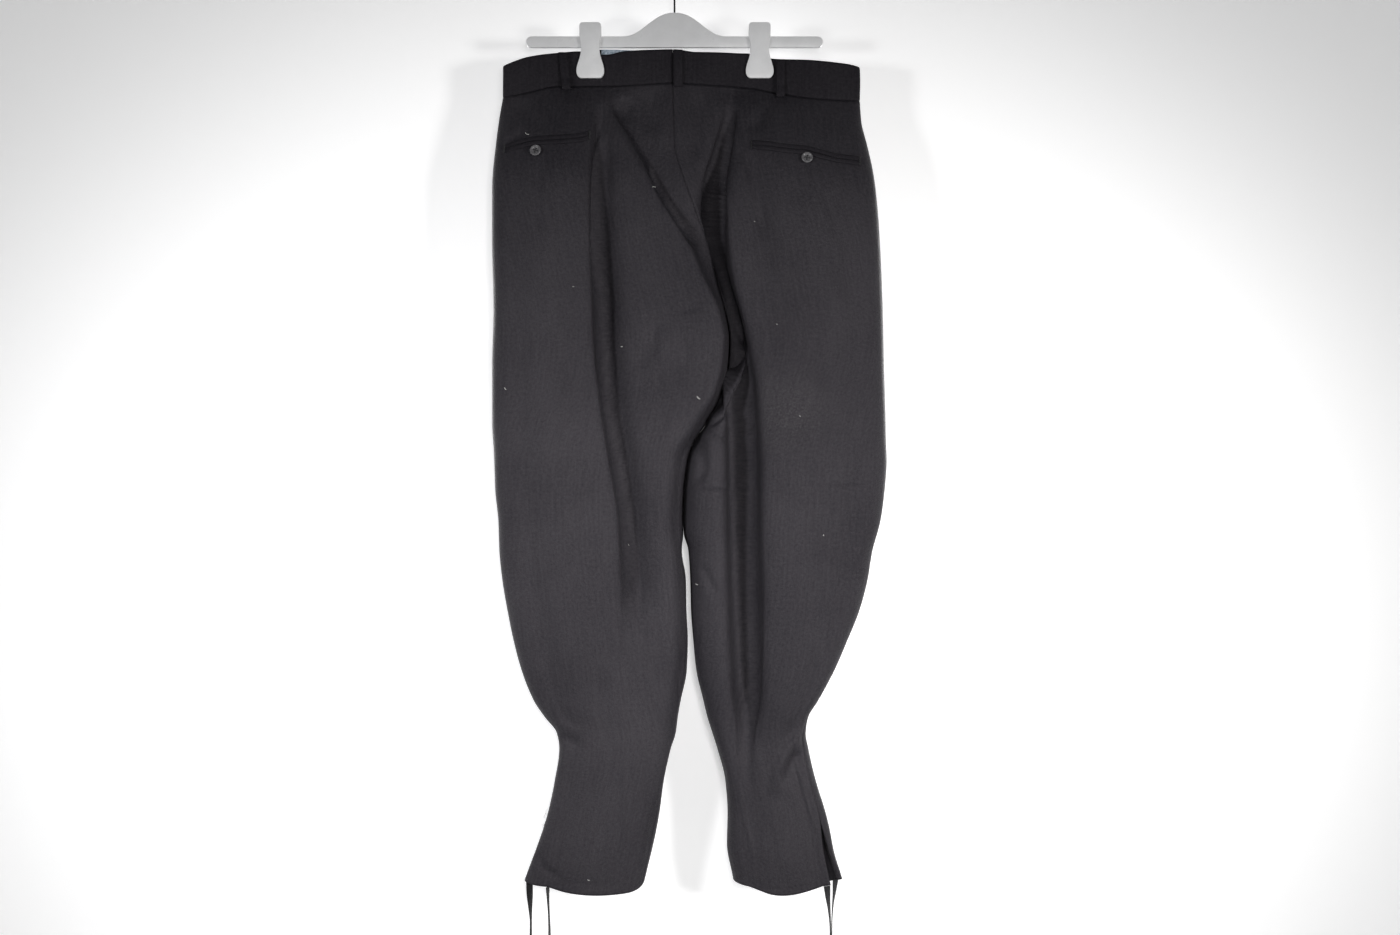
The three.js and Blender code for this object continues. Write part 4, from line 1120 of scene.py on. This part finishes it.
# ---- strips sewn on the cloth
def strip(name, rows, outward, material, slot, replaces, wall):
    """A strip through rows of points, thickened by its own wall."""
    points = np.array(rows, float)
    across, down = steps_of(points)
    across = np.pad(np.cumsum(across, axis=1), ((0, 0), (1, 0)))
    down = np.pad(np.cumsum(down, axis=0), ((1, 0), (0, 0)))
    bm = cloth_mesh(points, np.stack([across, down], axis=-1), outward)
    return finish_piece(name, bm, material, slot, replaces, wall * MM), points


def along(points, count):
    """count + 1 points at even steps along a smooth line through (x, drop) points."""
    data = np.array(points, float)
    order = np.concatenate([[0], np.cumsum(np.hypot(*np.diff(data, axis=0).T))])
    even = np.linspace(0, order[-1], count + 1)
    return np.stack([curve_through(order, column)(even) for column in data.T], axis=-1)


POCKET_MOUTHS = {
    "left": [(-202, 242.5), (-194, 240), (-178, 235.8), (-160, 233.2), (-142, 232.6), (-122, 231),
             (-107, 228.8), (-100, 225)],
    "right": [(91, 237), (108.6, 239.4), (131.4, 243), (155.4, 245.4), (173.4, 250.2), (191.4, 254.4),
              (209.4, 256.2), (221, 257.6)],
}
JET_WIDTH = 5.4
JET_GAP = 0.25
JET_WALL = 0.5
JET_STEPS = 70
JET_ROWS = 9


def make_jets(side):
    """The two rounded strips along a pocket's mouth, tucked in at their ends."""
    mouth = along(POCKET_MOUTHS[side], JET_STEPS)
    laid = cloth[f"back_{side}"]
    for place, sign in (("upper", -1), ("lower", 1)):
        rows = []
        for part in np.linspace(0, 1, JET_ROWS):
            crown = 0.5 + 1.35 * math.sqrt(max(1 - (2 * part - 0.86) ** 2 / 1.3, 0.0))
            row = []
            for i, (x, drop) in enumerate(mouth):
                tuck = math.sin(math.pi * (i / JET_STEPS)) ** 0.25
                wave = 0.25 * math.sin(i / 5.0 + sign)
                lift = JET_GAP + (crown + wave * part) * tuck
                row.append(laid.at(x, drop + sign * (JET_GAP + JET_WIDTH * part), lift)[0])
            rows.append(row)
        node = f"pocket_{side}_{place}_jet"
        strip(f"jet_{side}_{place}", rows, (0, -1, 0), shaded_band_twill, "wool_twill", [node], JET_WALL)


for pocket_side in ("left", "right"):
    make_jets(pocket_side)

FLY_WIDTH = 38
FLY_TOP = 167
FLY_LENGTH = 165
FLY_WALL = 0.6
FLY_ROWS = 60
FLY_COLUMNS = 15


def fly_width(part):
    """The flap's width at a share of its length: full, then rounded off at its foot."""
    return FLY_WIDTH * math.sqrt(max(1 - max(part - 0.7, 0) ** 2 / 0.1, 0.02))


def fly_edge(drop):
    """The x of the flap's edge by the centre seam."""
    return float(centre_front["x"](drop + 4)) - 1.2


def make_fly():
    """The flap over the fly, sewn on the front left panel."""
    laid = cloth["front_left"]
    rows = []
    for part in np.linspace(0, 1, FLY_ROWS):
        drop = FLY_TOP + FLY_LENGTH * part
        row = []
        for i in range(FLY_COLUMNS):
            share = i / (FLY_COLUMNS - 1)
            puff = 0.5 + 0.7 * math.sin(math.pi * min(share * 1.6, 1)) ** 0.4
            row.append(laid.at(fly_edge(drop) - fly_width(part) * share, drop, puff)[0])
        rows.append(row)
    piece, points = strip("cloth_fly", rows, (0, 1, 0), wool_twill, "wool_twill", ["fly_flap"], FLY_WALL)
    declare_sheet("fly_flap", piece, points, "hung")


make_fly()

LOOP_WIDTH = 10.5
LOOP_WALL = 1.4
LOOP_ARCH = 2.2
LOOP_ROWS = 26
LOOP_GAP = 0.4
LOOP_OVERLAP = 5
# Name, panel, x and how far the top leans to +x.
BELT_LOOPS = [
    ("back_left", "back_left", -131.5, -4.5),
    ("back_centre", "back_right", 4.5, 0),
    ("back_right", "back_right", 127, 0),
    ("front_left", "front_left", -134, 0),
    ("front_right", "front_right", 140, 0),
]


def make_loop(name, panel, x, lean):
    """A belt loop that stands off the band, over the thicker of band and panel."""
    face = bands[panel].face
    seam = float(waistline["seam"](x))
    top = float(band_top(face, x)) + 0.6
    bottom = seam + LOOP_OVERLAP
    rows = []
    for part in np.linspace(0, 1, LOOP_ROWS):
        drop = bottom + (top - bottom) * part
        centre = x + lean * (part - 0.5)
        low = min(max(drop, top + 1.2), seam - 1.0)
        band_y = max(abs(bands[panel].at(centre + side, low)[0].y) for side in (-4, 0, 4))
        panel_y = max(abs(cloth[panel].at(centre + side, bottom)[0].y) for side in (-4, 0, 4))
        blend = 1 - min(max((seam - drop) / 10, 0), 1)
        reach = band_y + max(panel_y - band_y, 0) * blend
        arch = LOOP_ARCH * math.sin(math.pi * part) ** 0.6
        row = []
        for share in np.linspace(-0.5, 0.5, 9):
            edge = 0.35 * (abs(share) * 2) ** 4
            out = reach + LOOP_GAP + arch + LOOP_WALL - edge
            row.append((centre + share * LOOP_WIDTH, face * out, -drop))
        rows.append(row)
    strip(f"loop_{name}", rows, (0, face, 0), shaded_band_twill, "wool_twill", [f"belt_loop_{name}"], LOOP_WALL)


for loop in BELT_LOOPS:
    make_loop(*loop)


STRIP_DROPS = (118.9, 125)
STRIP_ENDS = (-88, -48)
STRIP_WALL = 0.7


def make_waist_strip():
    """The inside of the front band, where its cotton stands above the cloth."""
    rows = []
    for drop in np.linspace(*STRIP_DROPS, 6):
        row = []
        for x in np.linspace(*STRIP_ENDS, 30):
            front = bands["front_left"].at(x, drop + 4)[0].y - WALL
            row.append((x, max(front - 1.15, -0.4) + 0.12 * math.sin(x * 1.1 + drop * 0.5), -drop))
        rows.append(row)
    strip("inner_strip", rows, (0, -1, 0), pale_blue, "inner_cotton", ["waist_strip"], STRIP_WALL)


make_waist_strip()


# ---- tie tapes
# Panel, x on the hem, and points along each tape: sideways, away, below and its twist in degrees.
TAPES = {
    "tie_left_front": ("front_left", -175.4, [
        (-0.5, 0, 1.2, 8), (-0.2, 0, 14, 22), (0.6, -0.5, 32, 60), (1.4, -1, 52, 82), (1.2, -1, 82, 75),
        (0.5, 0, 117, 60), (0, 1, 157, 70), (0.4, 1, TAPE_REACH, 80)]),
    "tie_left_back": ("back_left", -151, [
        (0, 0, 0, 66), (0.4, 1, 14, 78), (1.2, 3, 32, 84), (1.8, 4, 52, 80), (2, 5, 82, 70),
        (1, 6, 117, 64), (0.4, 6, 157, 72), (0.6, 6, TAPE_REACH, 80)]),
    "tie_right_back": ("back_right", 182, [
        (0, 0, 0.4, 20), (1.2, 1, 14, 48), (3.2, 3, 32, 72), (4.4, 4, 52, 80), (4.6, 5, 82, 80),
        (4.2, 6, 117, 78), (3.8, 6, 157, 80), (3.8, 6, TAPE_REACH, 82)]),
    "tie_right_front": ("front_right", 194, [
        (0, 0, 0, 34), (-1.2, 0, 14, 60), (-3.2, 1, 32, 78), (-4.2, 2, 52, 84), (-4.4, 2, 82, 84),
        (-4.6, 3, 117, 80), (-4.4, 3, 157, 84), (-4.6, 3, TAPE_REACH, 86)]),
}


def make_tape(name, panel, hem_x, route):
    """A tie tape that hangs from the hem, twisting along its route."""
    hem, normals = cloth[panel].hem
    column = int(np.abs(hem[:, 0] - hem_x).argmin())
    start = hem[column] - normals[column] * WALL / 2
    data = np.array(route, float)
    order = np.arange(len(route))
    even = np.linspace(0, len(route) - 1, 90)
    sideways, away, below, twist = (curve_through(order, data[:, i])(even) for i in range(4))
    path = np.stack([sideways, away, -below - SEAM_GAP], axis=-1) + start
    angle = np.radians(twist)
    across = np.stack([np.cos(angle), np.sin(angle), 0 * angle], axis=-1)
    rows = np.stack([path + across * TAPE_WIDTH * share for share in np.linspace(-0.5, 0.5, 7)], axis=1)
    out = np.stack([np.sin(angle), -np.cos(angle), 0 * angle], axis=-1)
    rows = rows + out[:, None] * TAPE_WALL / 2
    middle = out[len(out) // 2]
    piece, _ = strip(name, rows, tuple(middle), tape_weave, "tie_tape", [name], TAPE_WALL)
    length = float(np.linalg.norm(np.diff(path, axis=0), axis=1).sum())
    knots = [tuple(point) for point in path[::3] * MM] + [tuple(path[-1] * MM)]
    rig.cord(piece, exit=tuple(path[0] * MM), length=length * MM, diameter=TAPE_WIDTH * MM, far_end="bare",
            stiffness="limp", lay="hanging", path=knots)


for tape_name, settings in TAPES.items():
    make_tape(tape_name, *settings)


# ---- buttons
BUTTON_THICKNESS = 2.6
BUTTON_HALF = BUTTON_THICKNESS / 2
BUTTON_PROFILE = [(0, -BUTTON_HALF), (4.6, -BUTTON_HALF), (6.2, -0.9), (6.8, -0.3), (6.75, 0.4), (6.3, 1.0),
                  (5.7, 1.25), (5.1, 1.05), (4.4, 0.3), (3.6, -0.1), (0, -0.15)]
HOLE_RADIUS = 1.1
HOLE_PLACE = 1.7


def placed(bm, made, size, turn, place):
    """Scales, turns and moves a newly made shape."""
    verts = made["verts"]
    bmesh.ops.scale(bm, verts=verts, vec=size)
    bmesh.ops.rotate(bm, verts=verts, cent=(0, 0, 0), matrix=turn)
    bmesh.ops.translate(bm, verts=verts, vec=place)


def make_button(name, node, laid, x, drop, lift, turn):
    """A dished four-hole button: a turned profile with thread discs at its four holes, and crossed thread."""
    bm = bmesh.new()
    verts = [bm.verts.new((radius * MM, 0, height * MM)) for radius, height in BUTTON_PROFILE]
    edges = [bm.edges.new(pair) for pair in zip(verts, verts[1:])]
    bmesh.ops.spin(bm, geom=verts + edges, cent=(0, 0, 0), axis=(0, 0, 1), angle=math.tau, steps=48,
                   use_merge=True)
    bmesh.ops.remove_doubles(bm, verts=bm.verts[:], dist=1e-6)
    bmesh.ops.recalc_face_normals(bm, faces=bm.faces[:])
    place, normal = laid.at(x, drop, lift + BUTTON_HALF)
    turned = Vector((0, 0, 1)).rotation_difference(normal).to_matrix().to_4x4()
    seat = Matrix.Translation(place * MM) @ turned @ Matrix.Rotation(turn, 4, "Z")
    bm.transform(seat)
    finish_piece(name, bm, button_horn, "button", [node])
    thread = bmesh.new()
    for hx, hy in ((1, 1), (1, -1), (-1, 1), (-1, -1)):
        hole = bmesh.ops.create_cone(thread, cap_ends=True, segments=12, radius1=HOLE_RADIUS * MM,
                                     radius2=HOLE_RADIUS * MM, depth=0.12 * MM)
        place = Vector((hx * HOLE_PLACE, hy * HOLE_PLACE, -0.1))
        bmesh.ops.translate(thread, verts=hole["verts"], vec=place * MM)
    for angle in (45, -45):
        made = bmesh.ops.create_uvsphere(thread, u_segments=10, v_segments=8, radius=1 * MM)
        across = Matrix.Rotation(math.radians(angle), 3, "Z")
        placed(thread, made, (2.6, 0.62, 0.4), across, Vector((0, 0, 0.15)) * MM)
    thread.transform(seat)
    finish_piece(f"{name}_thread", thread, thread_black, "button")


ON_JET = 2.0
make_button("button_left", "pocket_button_left", cloth["back_left"], -163.4, 246.2, ON_JET - 0.6, 0.3)
make_button("button_right", "pocket_button_right", cloth["back_right"], 157, 255.4, ON_JET, 0.6)
make_button("button_waist", "waist_button", bands["front_left"], -18, 141, 0.8, 0.1)


# ---- stitches, bartacks, lint and loose threads
def add_stitch(bm, start, end, radius):
    """One thread stitch between two points, in millimetres."""
    direction = end - start
    if direction.length < 1e-6:
        return
    made = bmesh.ops.create_uvsphere(bm, u_segments=6, v_segments=4, radius=1)
    turned = Vector((0, 0, 1)).rotation_difference(direction.normalized()).to_matrix()
    placed(bm, made, (radius, radius, direction.length / 2), turned, (start + end) / 2)


def finish_small(name, bm, material, slot="wool_twill", replaces=()):
    """A finished piece from a bmesh that was built in millimetres."""
    bmesh.ops.scale(bm, verts=bm.verts[:], vec=(MM, MM, MM))
    finish_piece(name, bm, material, slot, replaces)


def stitch_line(bm, laid, line, pitch=3.2, share=0.62, radius=0.28, lift=0.12):
    """Stitches along (x, drop) points on the cloth, a little uneven."""
    data = np.array(line, float)
    length = np.hypot(*np.diff(data, axis=0).T).sum()
    count = max(int(length / pitch), 2)
    places = along(line, count)
    for i in range(count):
        (ax, ad), (bx, bd) = places[i], places[i + 1]
        size = share + rng.uniform(-0.08, 0.08)
        try:
            start = laid.at(ax, ad, lift)[0]
            end = laid.at(ax + (bx - ax) * size, ad + (bd - ad) * size, lift)[0]
        except ValueError:
            continue
        add_stitch(bm, start, end, radius)


def bartack(bm, laid, x, drop, width, height, turns=7, lift=0.3):
    """A close zigzag that fastens an end."""
    for i in range(turns):
        share = i / (turns - 1) - 0.5
        start = laid.at(x - width / 2, drop + share * height, lift)[0]
        end = laid.at(x + width / 2, drop + (share + 0.5 / turns) * height, lift)[0]
        add_stitch(bm, start, end, height / turns * 0.42)


HEM_STITCHES = {"back_left": (-148, -42), "back_right": (76, 176),
                "front_left": (-148, -42), "front_right": (76, 178)}
HEM_STITCH_DROP = 1108.5
POCKET_ENDS = {"left": ((-201, 242), (-101, 226)), "right": ((92, 237.5), (219.5, 257.5))}


def make_sewing():
    """Hem stitches, bartacks, buttonhole ends and the fly's row of stitches."""
    hems = bmesh.new()
    for name, (low, high) in HEM_STITCHES.items():
        line = []
        for i in range(9):
            sag = 2.6 * math.sin(math.pi * (i + 0.6) / 9)
            line.append((low + (high - low) * i / 8, HEM_STITCH_DROP + sag))
        stitch_line(hems, cloth[name], line, pitch=5.4, share=0.22, radius=0.22, lift=0.05)
    finish_small("sewing_hems", hems, thread_black)
    tacks = bmesh.new()
    for side, ends in POCKET_ENDS.items():
        for x, drop in ends:
            bartack(tacks, cloth[f"back_{side}"], x, drop, 2.2, 9, turns=9, lift=1.7)
    bartack(tacks, cloth["back_left"], -163.2, 256, 1.2, 3.4, turns=5, lift=0.35)
    bartack(tacks, cloth["back_right"], 155.6, 268.2, 1.3, 5.0, turns=6, lift=0.35)
    bartack(tacks, cloth["front_left"], 1, 329, 8, 2.4, turns=6, lift=1.6)
    finish_small("sewing_bartacks", tacks, thread_black)
    fly = bmesh.new()
    line = []
    for i in range(30):
        part = i / 29
        inside = max(fly_width(part) - 4, 1)
        line.append((fly_edge(FLY_TOP + FLY_LENGTH * part) - inside, FLY_TOP + 3 + (FLY_LENGTH - 6) * part))
    stitch_line(fly, cloth["front_left"], line, pitch=3.0, radius=0.26, lift=1.75)
    finish_small("sewing_fly", fly, thread_black)


make_sewing()


def fibre(bm, points, radius):
    """A bent fibre of short stitches."""
    for start, end in zip(points, points[1:]):
        add_stitch(bm, start, end, radius)


# Panel, x, drop, length, radius and angle.
LINT = [
    ("back_left", -174.6, 223.8, 5.5, 0.40, 0.5),
    ("back_left", -24, 288, 4.0, 0.36, -0.6),
    ("back_left", 29, 538, 5.0, 0.55, 0.7),
    ("back_left", -198.6, 527.4, 3.0, 0.4, 0.9),
    ("back_left", -62, 477, 2.4, 0.35, 0.2),
    ("back_left", -101.6, 1110, 2.4, 0.4, 0.4),
    ("back_left", -54, 712, 2.0, 0.3, 1.1),
    ("back_left", -118, 408, 1.8, 0.3, 0.1),
    ("back_right", 27, 759, 3.0, 0.38, 0.3),
    ("back_right", 148, 560, 2.0, 0.3, 0.8),
    ("back_right", 121, 452, 1.8, 0.3, 0.3),
    ("back_right", 176, 700, 1.8, 0.28, 1.4),
    ("back_right", 95, 330, 1.6, 0.28, 0.5),
]


def make_lint():
    """Specks of pale lint on the cloth."""
    bm = bmesh.new()
    for name, x, drop, length, radius, angle in LINT:
        points = []
        for i in range(5):
            share = i / 4 - 0.5
            bend = 0.18 * length * math.cos(math.pi * share)
            px = x + math.cos(angle) * share * length - math.sin(angle) * bend
            pd = drop + math.sin(angle) * share * length + math.cos(angle) * bend
            points.append(cloth[name].at(px, pd, 0.2)[0])
        fibre(bm, points, radius)
    finish_small("lint", bm, lint_white)


make_lint()


# The x and drop of each thread's start, and how far it sweeps to +x and falls.
FRAYS = [
    (-153.5, 1028, -3.5, 7),
    (-154.2, 1034, -4.4, 3),
    (-155.2, 1042, -3.0, 6),
    (-157.0, 1049, -3.8, -2),
]


def make_frays():
    """Loose thread ends at the left slit."""
    bm = bmesh.new()
    for x, drop, sweep, fall in FRAYS:
        start = Vector((x + 2.5, -9.5, -drop))
        points = [start + Vector((sweep * t, -0.8 * t, -fall * t * t)) for t in np.linspace(0, 1.3, 6)]
        fibre(bm, points, 0.2)
    finish_small("frayed_threads", bm, thread_black)


make_frays()


# ---- hanger
def outline_solid(points, depth, bevel):
    """A flat outline in x and z, in millimetres, thickened along y about y = 0 with rounded edges."""
    bm = bmesh.new()
    verts = [bm.verts.new((x, -depth / 2, z)) for x, z in points]
    face = bm.faces.new(verts)
    made = bmesh.ops.extrude_face_region(bm, geom=[face])
    moved = [item for item in made["geom"] if isinstance(item, bmesh.types.BMVert)]
    bmesh.ops.translate(bm, verts=moved, vec=(0, depth, 0))
    bmesh.ops.recalc_face_normals(bm, faces=bm.faces[:])
    rims = [edge for edge in bm.edges if abs(edge.verts[0].co.y - edge.verts[1].co.y) < 1e-6]
    bmesh.ops.bevel(bm, geom=rims, offset=bevel, segments=3, profile=0.5, affect="EDGES", material=-1)
    return bm


def arc(cx, cz, radius, start, end, steps):
    angles = np.radians(np.linspace(start, end, steps + 1))
    return [(cx + radius * math.cos(a), cz + radius * math.sin(a)) for a in angles]


def bezier(p0, p1, p2, p3, steps):
    """Points along a cubic curve, without its first one."""
    out = []
    for t in np.linspace(0, 1, steps + 1)[1:]:
        s = 1 - t
        out.append(tuple(s ** 3 * a + 3 * s * s * t * b + 3 * s * t * t * c + t ** 3 * d
                         for a, b, c, d in zip(p0, p1, p2, p3)))
    return out


BAR_TOP = -103.6
BAR_BOTTOM = -117
HUMP_TOP = -75
HUMP_HALF = 62
BAR_HALF = 178
BAR_THICKNESS = 6.8
BAR_BEVEL = 1.1
CLIP_TOP = -87.5
JAW_THICKNESS = 3.4
JAW_BEVEL = 0.8
JAW_OPEN = 4.4
JAW_SHUT = 2.9
GRIP_DROP = 124
BRIDGE_SIZE = (22, 8.4, 11)
BRIDGE_PLACE = (0, -0.45, -96.6)


def make_bar():
    """The bar, round at both ends, with its hump in the middle."""
    radius = (BAR_TOP - BAR_BOTTOM) / 2
    middle = BAR_BOTTOM + radius
    points = arc(BAR_HALF - radius, middle, radius, -90, 90, 14)
    points += [(HUMP_HALF + 20, BAR_TOP), (HUMP_HALF, BAR_TOP)]
    points += bezier((HUMP_HALF, BAR_TOP), (HUMP_HALF * 0.6, BAR_TOP), (HUMP_HALF * 0.45, HUMP_TOP),
                     (0, HUMP_TOP), 18)
    points += bezier((0, HUMP_TOP), (-HUMP_HALF * 0.45, HUMP_TOP), (-HUMP_HALF * 0.6, BAR_TOP),
                     (-HUMP_HALF, BAR_TOP), 18)
    points += arc(-BAR_HALF + radius, middle, radius, 90, 270, 14)
    bm = outline_solid(points, BAR_THICKNESS, BAR_BEVEL)
    finish_small("bar", bm, white_plastic, "hanger_plastic", ["hanger_bar"])


def jaw_outline():
    """A clip jaw seen from the front: wide at the mouth, narrow at the waist."""
    right = [(10.5, -154.2)]
    right += bezier((10.5, -154.2), (15, -154.2), (17.3, -149), (16.6, -143), 8)
    right += bezier((16.6, -143), (16, -137), (12, -130), (11.2, -121), 8)
    right += [(11.6, -112)]
    right += bezier((11.6, -112), (12.8, -107), (13, -104), (13, -99), 5)
    right += arc(9, CLIP_TOP - 4, 4, 0, 90, 6)
    return right + [(-x, z) for x, z in reversed(right)]


def make_jaw(side, place, face):
    """One jaw, bent in to grip the band. The back one carries the bridge over the bar."""
    bm = outline_solid(jaw_outline(), JAW_THICKNESS, JAW_BEVEL)
    for vert in bm.verts:
        grip = float(fade(-vert.co.z, -BAR_BOTTOM, GRIP_DROP))
        vert.co.y += face * (JAW_OPEN + (JAW_SHUT - JAW_OPEN) * grip + JAW_THICKNESS / 2)
    if place == "back":
        bridge = bmesh.ops.create_cube(bm, size=1)
        placed(bm, bridge, BRIDGE_SIZE, Matrix.Identity(3), BRIDGE_PLACE)
    bmesh.ops.translate(bm, verts=bm.verts[:], vec=(CLIP_X[side], 0, 0))
    finish_small(f"jaw_{side}_{place}", bm, white_plastic, "hanger_plastic", [f"clip_{side}_{place}"])


make_bar()
for clip_side in CLIP_X:
    make_jaw(clip_side, "back", -1)
    make_jaw(clip_side, "front", 1)

WIRE_RADIUS = 1.15
HOOK_RADIUS = 20.6


def make_hook():
    """The round wire hook on its straight stem."""
    crown = WIRE_RADIUS - HOOK_RADIUS
    points = [(0, HUMP_TOP + 0.3), (0, -62), (0, -52), (1.6, -45)]
    points += arc(0, crown, HOOK_RADIUS, -62, 208, 15)
    curve = bpy.data.curves.new("hook", "CURVE")
    curve.dimensions = "3D"
    curve.bevel_depth = WIRE_RADIUS * MM
    curve.bevel_resolution = 5
    curve.use_fill_caps = True
    curve.resolution_u = 6
    spline = curve.splines.new("BEZIER")
    spline.bezier_points.add(len(points) - 1)
    for knot, (x, z) in zip(spline.bezier_points, points):
        knot.co = Vector((x, 0, z)) * MM
        knot.handle_left_type = knot.handle_right_type = "AUTO"
    curve.materials.append(hook_wire)
    declare(linked("hook", curve), "hook_wire", ["hanger_hook"])


make_hook()


# ---- plain studio
def stage_material(name, colour, one_sided, glow=0.0):
    """A plain wall or floor. A one-sided one is clear from behind."""
    material, nodes, shader = new_material(name, 0.95, 0.1)
    shader.inputs["Base Color"].default_value = (*colour, 1)
    shader.inputs["Emission Color"].default_value = (1, 1, 1, 1)
    shader.inputs["Emission Strength"].default_value = glow
    if one_sided:
        clear = nodes.add("ShaderNodeBsdfTransparent")
        facing = nodes.add("ShaderNodeNewGeometry").outputs["Backfacing"]
        mix = nodes.tree.nodes.new("ShaderNodeMixShader")
        nodes.feed(mix.inputs[0], facing)
        nodes.tree.links.new(shader.outputs[0], mix.inputs[1])
        nodes.tree.links.new(clear.outputs[0], mix.inputs[2])
        nodes.tree.links.new(mix.outputs[0], nodes.tree.nodes["Material Output"].inputs["Surface"])
    return material


def stage_plane(name, material, matrix, size):
    bm = bmesh.new()
    bmesh.ops.create_grid(bm, x_segments=1, y_segments=1, size=size)
    bm.transform(matrix)
    plane = link_mesh(name, bm, material)
    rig.stage(plane)
    return plane


WALL_BEHIND = 0.066
FLOOR_LEVEL = -1.62
wall_matrix = Matrix.Translation((0, WALL_BEHIND, -0.4)) @ Matrix.Rotation(math.radians(90), 4, "X")
wall_white = stage_material("wall_white", (0.93, 0.93, 0.935), True, glow=0.45)
wall = stage_plane("studio_wall", wall_white, wall_matrix, 3.2)
wall.visible_shadow = False
stage_plane("studio_floor", stage_material("floor_pale", (0.86, 0.86, 0.855), False),
            Matrix.Translation((0, 0, FLOOR_LEVEL)), 6.0)

with open("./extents.json", "w") as out:
    json.dump({"cad": cad_box, "scene": [list(corner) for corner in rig.bounds()], "sheets_m": sheets}, out)
